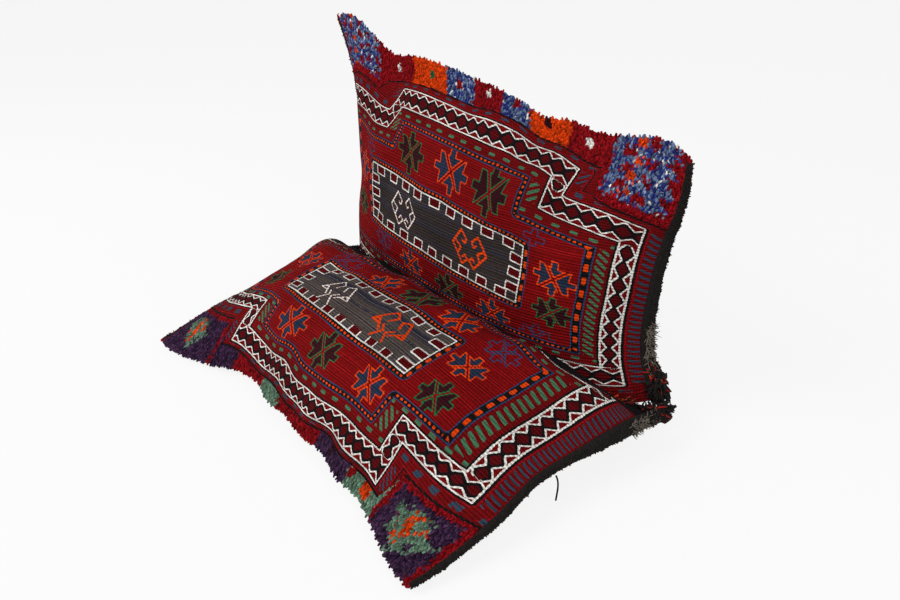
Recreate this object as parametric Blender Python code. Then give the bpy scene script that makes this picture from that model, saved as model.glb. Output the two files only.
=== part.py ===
"""Woven double saddle bag set up as a floor seat: one stuffed pouch lies flat, the other stands behind it.

Metres, +Z up. +X runs along the crease between the pouches, -Y points out over the seat. The origin is the
bottom centre of the bag. Every pouch is a loft: columns run from its mouth in the crease to the fold at its far
end, once over the woven face and once over the plain rear panel, and both share the side seams.
"""

import math

import bpy
import numpy as np

# Widths and heights of the stuffed pouches
seatHalfWidth = 0.340
backHalfWidth = 0.317
seatCrownHeight = 0.163
seatDepth = 0.402
backStandHeight = 0.412
seamHeight = 0.048
mouthHeight = 0.045
mouthForward = 0.130
backFrontBulge = 0.124
backRearBulge = 0.062
lipHeight = 0.018
leanHeight = 0.150
leanClearHeight = 0.300
earReach = 0.036
tallEarRise = 0.058

# Cloth, overcasting and clearances
pieceGap = 0.0006
wallGap = 0.0006
overcastThick = 0.004
bridgeHalfWidth = 0.0345
bridgeHalfLength = 0.346
bridgeApex = 0.036
threadRadius = 0.0011
threadDrop = 0.036
threadPlace = 0.53

# Mesh fineness
columnCount = 34
rowCount = 26


def smoothStep(x, low, high):
    t = np.clip((x - low) / (high - low), 0.0, 1.0)
    return t * t * (3.0 - 2.0 * t)


def curveThrough(points, shares):
    """Points of a smooth curve through the given ones, at the given shares of its length."""
    pts = np.array(points, float)
    ends = np.vstack([2 * pts[0] - pts[1], pts, 2 * pts[-1] - pts[-2]])
    fine = []
    t = np.linspace(0.0, 1.0, 24, endpoint=False)[:, None]
    for a, b, c, d in zip(ends[:-3], ends[1:-2], ends[2:-1], ends[3:]):
        cubic = 3 * b - a - 3 * c + d
        square = 2 * a - 5 * b + 4 * c - d
        fine.append(0.5 * (2 * b + (c - a) * t + square * t**2 + cubic * t**3))
    fine = np.vstack(fine + [pts[-1:]])
    run = np.concatenate([[0.0], np.cumsum(np.linalg.norm(np.diff(fine, axis=0), axis=1))])
    at = np.asarray(shares, float) * run[-1]
    return np.stack([np.interp(at, run, fine[:, k]) for k in range(fine.shape[1])], axis=-1)


def valueThrough(pairs, x):
    """Smooth value at x through (place, value) pairs."""
    xs = np.array([pair[0] for pair in pairs], float)
    ys = np.array([pair[1] for pair in pairs], float)
    x = np.clip(x, xs[0], xs[-1])
    i = np.clip(np.searchsorted(xs, x, side="right") - 1, 0, len(xs) - 2)
    h = np.diff(xs)
    slope = np.diff(ys) / h
    m = np.concatenate([slope[:1], (slope[:-1] + slope[1:]) / 2, slope[-1:]])
    t = (x - xs[i]) / h[i]
    rise = (t**3 - 2 * t**2 + t) * h[i] * m[i] + (t**3 - t**2) * h[i] * m[i + 1]
    return (2 * t**3 - 3 * t**2 + 1) * ys[i] + (3 * t**2 - 2 * t**3) * ys[i + 1] + rise


def seatPouch():
    """The pouch that lies on the floor, in (forward, height) profiles from its mouth to its far fold."""
    wallTop = seatCrownHeight - 0.030
    faceProfile = [
        (mouthForward + wallGap / 2, mouthHeight),
        (mouthForward + wallGap / 2, 0.085),
        (mouthForward + wallGap / 2 + 0.002, wallTop - 0.016),
        (mouthForward + 0.018, wallTop + 0.006),
        (mouthForward + 0.056, seatCrownHeight - 0.006),
        (mouthForward + 0.105, seatCrownHeight),
        (seatDepth - 0.117, seatCrownHeight - 0.006),
        (seatDepth - 0.076, seatCrownHeight - 0.026),
        (seatDepth - 0.043, seatCrownHeight - 0.062),
        (seatDepth - 0.021, 0.064),
        (seatDepth - 0.008, lipHeight + 0.018),
        (seatDepth, lipHeight),
    ]
    rearProfile = [
        (mouthForward + wallGap / 2, mouthHeight),
        (mouthForward + 0.012, 0.020),
        (mouthForward + 0.046, 0.0),
        (mouthForward + 0.110, -0.004),
        (seatDepth - 0.060, -0.004),
        (seatDepth - 0.020, 0.002),
        (seatDepth, lipHeight),
    ]
    seamProfile = [
        (0.006, mouthHeight),
        (0.060, seamHeight),
        (0.140, seamHeight + 0.002),
        (0.230, seamHeight),
        (0.310, seamHeight - 0.012),
        (0.370, lipHeight + 0.004),
        (seatDepth, lipHeight),
    ]
    halfWidth = [
        (0.00, seatHalfWidth + 0.010),
        (0.25, seatHalfWidth + 0.012),
        (0.45, seatHalfWidth),
        (0.58, seatHalfWidth - 0.006),
        (0.74, seatHalfWidth + 0.001),
        (0.88, seatHalfWidth - 0.003),
        (1.00, seatHalfWidth - 0.010),
    ]
    # How far the far fold reaches past seatDepth, across the pouch: two pulled ears and a wavy edge between
    foldReach = [
        (-1.00, earReach + 0.004),
        (-0.86, earReach + 0.002),
        (-0.64, 0.014),
        (-0.46, -0.012),
        (-0.30, -0.020),
        (-0.14, -0.010),
        (0.02, -0.012),
        (0.16, -0.007),
        (0.30, -0.011),
        (0.44, -0.003),
        (0.58, -0.004),
        (0.72, 0.006),
        (0.86, 0.020),
        (1.00, earReach - 0.010),
    ]
    foldRise = [(-1.0, -0.008), (-0.7, -0.006), (-0.3, 0.002), (0.3, 0.002), (0.7, -0.006), (1.0, -0.008)]
    return {
        "face": faceProfile,
        "rear": rearProfile,
        "seam": seamProfile,
        "halfWidth": halfWidth,
        "foldReach": foldReach,
        "foldRise": foldRise,
        "lean": [(0, 0), (0.5, -0.001), (1, -0.005)],
        "power": {"face": [(0, 2.9), (0.2, 2.7), (0.42, 2.2), (1, 2.2)], "rear": [(0, 2.9), (0.15, 5), (1, 5)]},
        "swell": [(0, 1), (0.2, 0.9), (0.45, 0), (1, 0)],
        "fall": {"face": [(0, 0.62), (0.2, 0.64), (0.42, 0.74), (1, 0.74)], "rear": [(0, 0.62), (0.15, 1.35), (1, 1.35)]},
    }


def backPouch():
    """The pouch that stands behind the seat, in the same terms. Its far fold is its top edge."""
    wallForward = mouthForward - wallGap / 2
    faceProfile = [
        (wallForward, mouthHeight),
        (wallForward, 0.100),
        (wallForward, 0.160),
        (backFrontBulge - 0.004, 0.205),
        (backFrontBulge - 0.014, 0.250),
        (backFrontBulge - 0.030, 0.295),
        (backFrontBulge - 0.052, 0.337),
        (backFrontBulge - 0.080, 0.371),
        (0.023, backStandHeight - 0.020),
        (0.012, backStandHeight),
    ]
    rearProfile = [
        (wallForward, mouthHeight),
        (wallForward - 0.012, 0.020),
        (wallForward - 0.046, 0.0),
        (0.020, -0.004),
        (-backRearBulge + 0.012, 0.010),
        (-backRearBulge, 0.060),
        (-backRearBulge - 0.004, 0.150),
        (-backRearBulge + 0.002, 0.250),
        (-0.040, 0.335),
        (-0.008, backStandHeight - 0.022),
        (0.012, backStandHeight),
    ]
    seamProfile = [
        (-0.006, mouthHeight),
        (-0.004, 0.100),
        (0.000, 0.200),
        (0.000, 0.300),
        (0.006, 0.370),
        (0.012, backStandHeight),
    ]
    halfWidth = [
        (0.00, backHalfWidth + 0.014),
        (0.15, backHalfWidth + 0.003),
        (0.42, backHalfWidth + 0.002),
        (0.64, backHalfWidth + 0.009),
        (0.86, backHalfWidth + 0.018),
        (1.00, backHalfWidth + 0.028),
    ]
    foldReach = [
        (-1.00, tallEarRise + 0.004),
        (-0.90, tallEarRise + 0.008),
        (-0.78, tallEarRise - 0.012),
        (-0.70, 0.026),
        (-0.62, 0.012),
        (-0.46, 0.014),
        (-0.24, 0.008),
        (0.08, -0.007),
        (0.24, -0.020),
        (0.33, -0.031),
        (0.46, -0.028),
        (0.62, -0.034),
        (0.74, -0.028),
        (0.86, -0.022),
        (0.95, -0.026),
        (1.00, -0.036),
    ]
    foldRise = [(-1.0, 0.018), (-0.8, 0.010), (-0.55, -0.004), (0.0, 0.0), (0.6, -0.004), (1.0, 0.008)]
    return {
        "face": faceProfile,
        "rear": rearProfile,
        "seam": seamProfile,
        "halfWidth": halfWidth,
        "foldReach": foldReach,
        "foldRise": foldRise,
        "lean": [(0, 0), (0.15, -0.0145), (0.42, -0.0165), (0.64, -0.014), (0.86, -0.007), (1, -0.012)],
        "swell": [(0, 0), (1, 0)],
        "power": {"face": [(0, 3.4), (0.2, 2.8), (0.4, 2.5), (1, 2.5)], "rear": [(0, 3.4), (0.2, 2.6), (1, 2.6)]},
        "fall": {"face": [(0, 0.58), (0.2, 0.62), (0.4, 0.66), (1, 0.66)], "rear": [(0, 0.58), (0.2, 0.7), (1, 0.7)]},
    }


def wallLine(x):
    """How far forward the seat's rear wall stands at x. The back pouch leans against it."""
    part = np.clip(np.abs(x) / seatHalfWidth, 0.0, 1.0)
    return mouthForward * (1.0 - part**2.9) ** 0.62


def pouchPoints(pouch, across, along, side, lying):
    """World points of one panel at the given places across (-1..1) and along (0 mouth .. 1 far fold)."""
    seam = curveThrough(pouch["seam"], along)
    middle = curveThrough(pouch[side], along)
    power = valueThrough(pouch["power"][side], along)
    fall = valueThrough(pouch["fall"][side], along)
    crown = (1.0 - np.abs(across)[:, None] ** power[None, :]) ** fall[None, :]
    # The lying pouch is fuller at its mouth, where its corners are pressed against the standing one
    swell = valueThrough(pouch["swell"], along) * (side == "face")
    fullCrown = (1.0 - np.abs(across)[:, None] ** 4.6) ** 0.54
    crownUp = crown + (fullCrown - crown) * swell
    halfWidth = valueThrough(pouch["halfWidth"], along)
    reach = valueThrough(pouch["foldReach"], across)
    rise = valueThrough(pouch["foldRise"], across)
    pull = smoothStep(along, 0.45, 1.0)
    x = across[:, None] * halfWidth[None, :] + valueThrough(pouch["lean"], along)[None, :]
    forward = seam[None, :, 0] + crown * (middle - seam)[None, :, 0]
    height = seam[None, :, 1] + crownUp * (middle - seam)[None, :, 1]
    if lying:
        forward = forward + reach[:, None] * pull[None, :]
        height = height + rise[:, None] * pull[None, :]
        forward = np.maximum(forward, wallLine(x) + wallGap / 2)
    else:
        height = height + reach[:, None] * pull[None, :]
        forward = forward + rise[:, None] * pull[None, :]
        # Below leanHeight it touches the seat's rear wall; above that it is free of it
        free = smoothStep(height, leanHeight, leanClearHeight)
        forward = np.minimum(forward, wallLine(x) - wallGap / 2 + free)
    return np.stack([x, -forward, np.maximum(height, 0.0)], axis=-1)


def gridTriangles(index):
    """Triangles over a grid of vertex numbers, every cell cut along the same diagonal."""
    a = index[:-1, :-1].ravel()
    b = index[1:, :-1].ravel()
    c = index[1:, 1:].ravel()
    d = index[:-1, 1:].ravel()
    return np.concatenate([np.stack([a, b, c], axis=1), np.stack([a, c, d], axis=1)])


def facedOut(points, triangles):
    corners = points[triangles]
    volume = np.einsum("ij,ij->i", corners[:, 0], np.cross(corners[:, 1], corners[:, 2])).sum()
    return triangles if volume > 0 else triangles[:, ::-1]


def pointNormals(points, triangles):
    corners = points[triangles]
    flat = np.cross(corners[:, 1] - corners[:, 0], corners[:, 2] - corners[:, 0])
    flat /= np.maximum(np.linalg.norm(flat, axis=1, keepdims=True), 1e-12)
    normals = np.zeros_like(points)
    for k in range(3):
        np.add.at(normals, triangles[:, k], flat)
    normals /= np.maximum(np.linalg.norm(normals, axis=1, keepdims=True), 1e-12)
    # Longer where the triangles round a point meet at an angle, so that a shell keeps its distance from each
    share = np.ones(len(points))
    for k in range(3):
        np.minimum.at(share, triangles[:, k], np.einsum("ij,ij->i", flat, normals[triangles[:, k]]))
    return normals, 1.0 / np.clip(share, 0.25, 1.0)


def stuffedPouch(pouch, lying):
    """Both panels sewn together along their border: points, triangles and the two grids of point numbers."""
    t = np.linspace(-1.0, 1.0, columnCount + 1)
    across = 0.55 * t + 0.45 * np.sin(t * math.pi / 2)
    along = np.linspace(0.0, 1.0, rowCount + 1)
    face = pouchPoints(pouch, across, along, "face", lying)
    rear = pouchPoints(pouch, across, along, "rear", lying)
    faceIndex = np.arange(face.shape[0] * face.shape[1]).reshape(face.shape[:2])
    rearIndex = faceIndex.copy()
    inner = rearIndex[1:-1, 1:-1]
    rearIndex[1:-1, 1:-1] = np.arange(inner.size).reshape(inner.shape) + faceIndex.size
    points = np.concatenate([face.reshape(-1, 3), rear[1:-1, 1:-1].reshape(-1, 3)])
    triangles = np.concatenate([gridTriangles(faceIndex), gridTriangles(rearIndex)[:, ::-1]])
    return points, facedOut(points, triangles), faceIndex, rearIndex


def overcastBand(points, triangles, faceIndex, rearIndex, end):
    """Goat hair sewn round one side seam: a band folded over the seam, clear of both panels by pieceGap."""
    normals, stretch = pointNormals(points, triangles)
    columns = [faceIndex[-3], faceIndex[-2], faceIndex[-1], rearIndex[-2], rearIndex[-3]]
    if end < 0:
        columns = [faceIndex[2], faceIndex[1], faceIndex[0], rearIndex[1], rearIndex[2]]
    index = np.array(columns)[:, 4:-2]
    cover = np.array([0.6, 1.0, 1.0, 1.0, 0.6])[:, None, None] * overcastThick
    # The hair stands off a little more over the sharp edge of the seam itself
    clear = (pieceGap * stretch[index])[..., None] * np.array([1.0, 1.0, 1.6, 1.0, 1.0])[:, None, None]
    inner = points[index] + normals[index] * clear
    outer = points[index] + normals[index] * (clear + cover)
    inner[..., 2] = np.maximum(inner[..., 2], 0.0)
    outer[..., 2] = np.maximum(outer[..., 2], 0.0)
    count = index.size
    first = np.arange(count).reshape(index.shape)
    # The same triangles as the pouch has there, so that the two surfaces stay parallel
    place = np.full(len(points), -1)
    place[index] = first
    local = place[triangles]
    local = local[(local >= 0).all(axis=1)]
    sheets = [local + count, local[:, ::-1]]
    edges = np.concatenate([local[:, [0, 1]], local[:, [1, 2]], local[:, [2, 0]]])
    free = edges[~np.isin(edges[:, 0] * count + edges[:, 1], edges[:, 1] * count + edges[:, 0])]
    sheets.append(np.stack([free[:, 1] + count, free[:, 0] + count, free[:, 0]], axis=1))
    sheets.append(np.stack([free[:, 1] + count, free[:, 0], free[:, 1]], axis=1))
    bandPoints = np.concatenate([inner.reshape(-1, 3), outer.reshape(-1, 3)])
    return bandPoints, facedOut(bandPoints, np.concatenate(sheets))


def bridgeCloth():
    """The woven strip between the pouches, bunched up under the crease where both mouths meet."""
    stations = np.linspace(-1.0, 1.0, 31)
    x = bridgeHalfLength * (0.7 * stations + 0.3 * np.sin(stations * math.pi / 2))
    turn = np.linspace(0.0, 2 * math.pi, 12, endpoint=False)
    rings = []
    for place, across in zip(stations, x):
        end = smoothStep(abs(place), 0.80, 1.0)
        half = bridgeHalfWidth * (1.0 - 0.62 * end)
        top = bridgeApex + 0.003 * math.sin(9.0 * place) * (1.0 - end)
        low = 0.010 * end
        middle = wallLine(across)
        # Narrow above and wide below, as the notch between the pouches is
        lift = (0.5 + 0.5 * np.sin(turn)) ** 1.4
        side = np.cos(turn) * half * (1.0 - 0.85 * smoothStep(lift, 0.04, 0.62))
        rings.append(np.stack([np.full(12, across), -(middle + side), low + (top - low) * lift], axis=1))
    grid = np.array(rings)
    first = np.arange(grid.shape[0] * 12).reshape(-1, 12)
    closed = np.concatenate([first, first[:, :1]], axis=1)
    points = np.concatenate([grid.reshape(-1, 3), grid[0].mean(axis=0)[None], grid[-1].mean(axis=0)[None]])
    caps = []
    for row, hub, turned in ((closed[0], len(points) - 2, -1), (closed[-1], len(points) - 1, 1)):
        fan = np.stack([np.full(12, hub), row[1:], row[:-1]], axis=1)
        caps.append(fan[:, ::turned])
    triangles = np.concatenate([gridTriangles(closed)] + caps)
    return points, facedOut(points, triangles)


def clothMaterial(name, hexColour, roughness):
    material = bpy.data.materials.new(name)
    material.use_nodes = True
    shader = material.node_tree.nodes["Principled BSDF"]
    channels = [int(hexColour[k : k + 2], 16) / 255 for k in (0, 2, 4)]
    linear = [c / 12.92 if c <= 0.04045 else ((c + 0.055) / 1.055) ** 2.4 for c in channels]
    shader.inputs["Base Color"].default_value = (*linear, 1.0)
    shader.inputs["Roughness"].default_value = roughness
    shader.inputs["Metallic"].default_value = 0.0
    material.diffuse_color = (*linear, 1.0)
    return material


def addPiece(name, points, triangles, materials):
    mesh = bpy.data.meshes.new(name)
    mesh.from_pydata([tuple(p) for p in points.tolist()], [], [tuple(t) for t in triangles.tolist()])
    mesh.update()
    mesh.shade_smooth()
    for material in materials:
        mesh.materials.append(material)
    obj = bpy.data.objects.new(name, mesh)
    bpy.context.scene.collection.objects.link(obj)
    return obj


def colourZones(obj, faceIndex, zones):
    """Gives the triangles of the woven face the material of the band of the pattern that they lie in."""
    columns, rows = faceIndex.shape
    for polygon in obj.data.polygons:
        corners = [v for v in polygon.vertices]
        if max(corners) >= columns * rows:
            continue
        across = abs(sum(c // rows for c in corners) / 3 / (columns - 1) * 2 - 1)
        along = sum(c % rows for c in corners) / 3 / (rows - 1)
        for slot, halfAcross, low, high in zones:
            if across < halfAcross and low < along < high:
                polygon.material_index = slot


# Materials and objects
for old in list(bpy.data.objects):
    bpy.data.objects.remove(old, do_unlink=True)

seatPoints, seatTriangles, seatFace, seatRear = stuffedPouch(seatPouch(), True)
backPoints, backTriangles, backFace, backRear = stuffedPouch(backPouch(), False)
pieces = {"seat_pouch": (seatPoints, seatTriangles), "back_pouch": (backPoints, backTriangles)}
for word, end in (("left", -1), ("right", 1)):
    pieces["seat_overcast_" + word] = overcastBand(seatPoints, seatTriangles, seatFace, seatRear, end)
    pieces["back_overcast_" + word] = overcastBand(backPoints, backTriangles, backFace, backRear, end)
pieces["bridge_cloth"] = bridgeCloth()

everyPoint = np.concatenate([piece[0] for piece in pieces.values()])
middle = (everyPoint.min(axis=0) + everyPoint.max(axis=0)) / 2
middle[2] = 0.0

sumakRed = clothMaterial("wool sumak red", "7C1519", 0.92)
sumakBorder = clothMaterial("wool sumak border", "64181A", 0.92)
sumakCharcoal = clothMaterial("wool sumak charcoal", "39343A", 0.92)
woolPile = clothMaterial("knotted wool pile", "6B2A2C", 0.95)
plainWool = clothMaterial("plain wool panel", "5A1F1E", 0.95)
goatHair = clothMaterial("black goat hair", "1B1715", 0.9)
bridgeWool = clothMaterial("plain wool bridge", "2A1A19", 0.95)
threadWool = clothMaterial("loose goat hair yarn", "15110F", 0.9)

for name, (points, triangles) in pieces.items():
    materials = [goatHair]
    if name == "bridge_cloth":
        materials = [bridgeWool]
    if name.endswith("pouch"):
        materials = [plainWool, woolPile, sumakBorder, sumakRed, sumakCharcoal]
    addPiece(name, points - middle, triangles, materials)

faceBands = [(1, 2.0, 0.86, 1.1), (2, 2.0, -0.1, 0.86), (3, 0.70, 0.08, 0.72)]
colourZones(bpy.data.objects["seat_pouch"], seatFace, faceBands + [(4, 0.52, 0.30, 0.52)])
colourZones(bpy.data.objects["back_pouch"], backFace, faceBands + [(4, 0.52, 0.33, 0.54)])

# A loose end of the overcasting yarn that hangs from the seat's right seam
seamRow = round(rowCount * threadPlace)
seamPoint = seatPoints[seatFace[-1, seamRow]] - middle
hairPoints = pieces["seat_overcast_right"][0] - middle
hairEdge = hairPoints[np.abs(hairPoints[:, 1] - seamPoint[1]) < 0.012, 0].max()
exitPoint = np.array([hairEdge + threadRadius + pieceGap / 2, seamPoint[1], seamPoint[2]])
route = [
    exitPoint,
    exitPoint + np.array([0.002, 0.001, -threadDrop * 0.18]),
    exitPoint + np.array([0.0015, 0.003, -threadDrop * 0.55]),
    exitPoint + np.array([0.003, -0.001, -threadDrop]),
]
threadPoints = curveThrough(route, np.linspace(0.0, 1.0, 13))
curve = bpy.data.curves.new("loose_thread", "CURVE")
curve.dimensions = "3D"
curve.bevel_depth = threadRadius
curve.bevel_resolution = 2
curve.use_fill_caps = True
spline = curve.splines.new("POLY")
spline.points.add(len(threadPoints) - 1)
for point, place in zip(spline.points, threadPoints):
    point.co = (*place, 1.0)
curve.materials.append(threadWool)
bpy.context.scene.collection.objects.link(bpy.data.objects.new("loose_thread", curve))
bpy.context.view_layer.update()
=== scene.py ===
import bmesh
import bpy
import math
import numpy as np
from mathutils import Matrix, Vector


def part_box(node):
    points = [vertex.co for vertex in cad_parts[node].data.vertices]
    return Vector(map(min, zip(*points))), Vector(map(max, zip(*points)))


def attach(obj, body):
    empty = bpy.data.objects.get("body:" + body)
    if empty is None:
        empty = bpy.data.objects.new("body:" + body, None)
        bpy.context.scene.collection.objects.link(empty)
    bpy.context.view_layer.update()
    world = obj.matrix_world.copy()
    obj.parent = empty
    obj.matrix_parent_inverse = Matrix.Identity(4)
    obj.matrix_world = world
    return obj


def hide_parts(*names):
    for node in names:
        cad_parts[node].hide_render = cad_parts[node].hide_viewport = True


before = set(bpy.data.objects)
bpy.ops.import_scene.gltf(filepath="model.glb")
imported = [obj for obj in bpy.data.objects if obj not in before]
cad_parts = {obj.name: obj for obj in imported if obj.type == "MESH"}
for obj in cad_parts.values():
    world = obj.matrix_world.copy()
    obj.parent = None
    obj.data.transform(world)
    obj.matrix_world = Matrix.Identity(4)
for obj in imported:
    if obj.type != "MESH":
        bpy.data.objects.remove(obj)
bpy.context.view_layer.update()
luck = np.random.RandomState(7)

# Camera: a close view from the right, a little above, with a short lens; fitted to points of the photo
cameraSet = {"azimuth": 0.87913, "elevation": 0.50558, "roll": -0.02294, "distance": 1.09891,
             "target": (-0.01493, -0.08109, 0.08242), "lens": 27.521}

# The stuffed pouches, as the solids are: widths, heights and how full they are
pouchSizes = {"seatHalfWidth": 0.340, "backHalfWidth": 0.317, "seatCrown": 0.163, "seatDepth": 0.402,
              "backHeight": 0.412, "seam": 0.048, "mouth": 0.045, "mouthForward": 0.130,
              "frontBulge": 0.124, "rearBulge": 0.062, "lip": 0.018, "ear": 0.036, "tallEar": 0.058,
              "wallGap": 0.0006}


def smoothStep(x, low, high):
    t = np.clip((x - low) / (high - low), 0.0, 1.0)
    return t * t * (3.0 - 2.0 * t)


def unit(rows):
    return rows / np.maximum(np.linalg.norm(rows, axis=-1, keepdims=True), 1e-9)


def curveThrough(points, shares):
    pts = np.array(points, float)
    ends = np.vstack([2 * pts[0] - pts[1], pts, 2 * pts[-1] - pts[-2]])
    fine = []
    t = np.linspace(0.0, 1.0, 24, endpoint=False)[:, None]
    for a, b, c, d in zip(ends[:-3], ends[1:-2], ends[2:-1], ends[3:]):
        cubic = 3 * b - a - 3 * c + d
        square = 2 * a - 5 * b + 4 * c - d
        fine.append(0.5 * (2 * b + (c - a) * t + square * t**2 + cubic * t**3))
    fine = np.vstack(fine + [pts[-1:]])
    run = np.concatenate([[0.0], np.cumsum(np.linalg.norm(np.diff(fine, axis=0), axis=1))])
    at = np.asarray(shares, float) * run[-1]
    return np.stack([np.interp(at, run, fine[:, k]) for k in range(fine.shape[1])], axis=-1)


def valueThrough(pairs, x):
    xs = np.array([pair[0] for pair in pairs], float)
    ys = np.array([pair[1] for pair in pairs], float)
    x = np.clip(x, xs[0], xs[-1])
    i = np.clip(np.searchsorted(xs, x, side="right") - 1, 0, len(xs) - 2)
    h = np.diff(xs)
    slope = np.diff(ys) / h
    m = np.concatenate([slope[:1], (slope[:-1] + slope[1:]) / 2, slope[-1:]])
    t = (x - xs[i]) / h[i]
    rise = (t**3 - 2 * t**2 + t) * h[i] * m[i] + (t**3 - t**2) * h[i] * m[i + 1]
    return (2 * t**3 - 3 * t**2 + 1) * ys[i] + (3 * t**2 - 2 * t**3) * ys[i + 1] + rise


def seatShape():
    s = pouchSizes
    wall = s["mouthForward"] + s["wallGap"] / 2
    top = s["seatCrown"]
    far = s["seatDepth"]
    half = s["seatHalfWidth"]
    return {
        "face": [(wall, s["mouth"]), (wall, 0.085), (wall + 0.002, top - 0.046),
                 (s["mouthForward"] + 0.018, top - 0.024), (s["mouthForward"] + 0.056, top - 0.006),
                 (s["mouthForward"] + 0.105, top), (far - 0.117, top - 0.006), (far - 0.076, top - 0.026),
                 (far - 0.043, top - 0.062), (far - 0.021, 0.064), (far - 0.008, s["lip"] + 0.018),
                 (far, s["lip"])],
        "rear": [(wall, s["mouth"]), (s["mouthForward"] + 0.012, 0.020), (s["mouthForward"] + 0.046, 0.0),
                 (s["mouthForward"] + 0.110, -0.004), (far - 0.060, -0.004), (far - 0.020, 0.002),
                 (far, s["lip"])],
        "seam": [(0.006, s["mouth"]), (0.060, s["seam"]), (0.140, s["seam"] + 0.002), (0.230, s["seam"]),
                 (0.310, s["seam"] - 0.012), (0.370, s["lip"] + 0.004), (far, s["lip"])],
        "halfWidth": [(0.00, half + 0.010), (0.25, half + 0.012), (0.45, half), (0.58, half - 0.006),
                      (0.74, half + 0.001), (0.88, half - 0.003), (1.00, half - 0.010)],
        "foldReach": [(-1.00, s["ear"] + 0.004), (-0.86, s["ear"] + 0.002), (-0.64, 0.014), (-0.46, -0.012),
                      (-0.30, -0.020), (-0.14, -0.010), (0.02, -0.012), (0.16, -0.007), (0.30, -0.011),
                      (0.44, -0.003), (0.58, -0.004), (0.72, 0.006), (0.86, 0.020),
                      (1.00, s["ear"] - 0.010)],
        "foldRise": [(-1.0, -0.008), (-0.7, -0.006), (-0.3, 0.002), (0.3, 0.002), (0.7, -0.006),
                     (1.0, -0.008)],
        "lean": [(0, 0), (0.5, -0.001), (1, -0.005)],
        "swell": [(0, 1), (0.2, 0.9), (0.45, 0), (1, 0)],
        "power": {"face": [(0, 2.9), (0.2, 2.7), (0.42, 2.2), (1, 2.2)],
                  "rear": [(0, 2.9), (0.15, 5), (1, 5)]},
        "fall": {"face": [(0, 0.62), (0.2, 0.64), (0.42, 0.74), (1, 0.74)],
                 "rear": [(0, 0.62), (0.15, 1.35), (1, 1.35)]},
    }


def backShape():
    s = pouchSizes
    wall = s["mouthForward"] - s["wallGap"] / 2
    front = s["frontBulge"]
    rear = s["rearBulge"]
    tall = s["backHeight"]
    half = s["backHalfWidth"]
    ear = s["tallEar"]
    return {
        "face": [(wall, s["mouth"]), (wall, 0.100), (wall, 0.160), (front - 0.004, 0.205),
                 (front - 0.014, 0.250), (front - 0.030, 0.295), (front - 0.052, 0.337),
                 (front - 0.080, 0.371), (0.023, tall - 0.020), (0.012, tall)],
        "rear": [(wall, s["mouth"]), (wall - 0.012, 0.020), (wall - 0.046, 0.0), (0.020, -0.004),
                 (-rear + 0.012, 0.010), (-rear, 0.060), (-rear - 0.004, 0.150), (-rear + 0.002, 0.250),
                 (-0.040, 0.335), (-0.008, tall - 0.022), (0.012, tall)],
        "seam": [(-0.006, s["mouth"]), (-0.004, 0.100), (0.000, 0.200), (0.000, 0.300), (0.006, 0.370),
                 (0.012, tall)],
        "halfWidth": [(0.00, half + 0.014), (0.15, half + 0.003), (0.42, half + 0.002),
                      (0.64, half + 0.009), (0.86, half + 0.018), (1.00, half + 0.028)],
        "foldReach": [(-1.00, ear + 0.004), (-0.90, ear + 0.008), (-0.78, ear - 0.012), (-0.70, 0.026),
                      (-0.62, 0.012), (-0.46, 0.014), (-0.24, 0.008), (0.08, -0.007), (0.24, -0.020),
                      (0.33, -0.031), (0.46, -0.028), (0.62, -0.034), (0.74, -0.028), (0.86, -0.022),
                      (0.95, -0.026), (1.00, -0.036)],
        "foldRise": [(-1.0, 0.018), (-0.8, 0.010), (-0.55, -0.004), (0.0, 0.0), (0.6, -0.004),
                     (1.0, 0.008)],
        "lean": [(0, 0), (0.15, -0.0145), (0.42, -0.0165), (0.64, -0.014), (0.86, -0.007), (1, -0.012)],
        "swell": [(0, 0), (1, 0)],
        "power": {"face": [(0, 3.4), (0.2, 2.8), (0.4, 2.5), (1, 2.5)],
                  "rear": [(0, 3.4), (0.2, 2.6), (1, 2.6)]},
        "fall": {"face": [(0, 0.58), (0.2, 0.62), (0.4, 0.66), (1, 0.66)],
                 "rear": [(0, 0.58), (0.2, 0.7), (1, 0.7)]},
    }


def wallLine(x):
    part = np.clip(np.abs(x) / pouchSizes["seatHalfWidth"], 0.0, 1.0)
    return pouchSizes["mouthForward"] * (1.0 - part**2.9) ** 0.62


def pouchPoints(pouch, across, along, side, lying):
    seam = curveThrough(pouch["seam"], along)
    middle = curveThrough(pouch[side], along)
    power = valueThrough(pouch["power"][side], along)
    fall = valueThrough(pouch["fall"][side], along)
    crown = (1.0 - np.abs(across)[:, None] ** power[None, :]) ** fall[None, :]
    swell = valueThrough(pouch["swell"], along) * (side == "face")
    fullCrown = (1.0 - np.abs(across)[:, None] ** 4.6) ** 0.54
    crownUp = crown + (fullCrown - crown) * swell
    halfWidth = valueThrough(pouch["halfWidth"], along)
    reach = valueThrough(pouch["foldReach"], across)
    rise = valueThrough(pouch["foldRise"], across)
    pull = smoothStep(along, 0.45, 1.0)
    x = across[:, None] * halfWidth[None, :] + valueThrough(pouch["lean"], along)[None, :]
    forward = seam[None, :, 0] + crown * (middle - seam)[None, :, 0]
    height = seam[None, :, 1] + crownUp * (middle - seam)[None, :, 1]
    gap = pouchSizes["wallGap"] / 2
    if lying:
        forward = forward + reach[:, None] * pull[None, :]
        height = height + rise[:, None] * pull[None, :]
        forward = np.maximum(forward, wallLine(x) + gap)
    else:
        height = height + reach[:, None] * pull[None, :]
        forward = forward + rise[:, None] * pull[None, :]
        forward = np.minimum(forward, wallLine(x) - gap + smoothStep(height, 0.15, 0.30))
    return np.stack([x, -forward, np.maximum(height, 0.0)], axis=-1)


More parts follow.
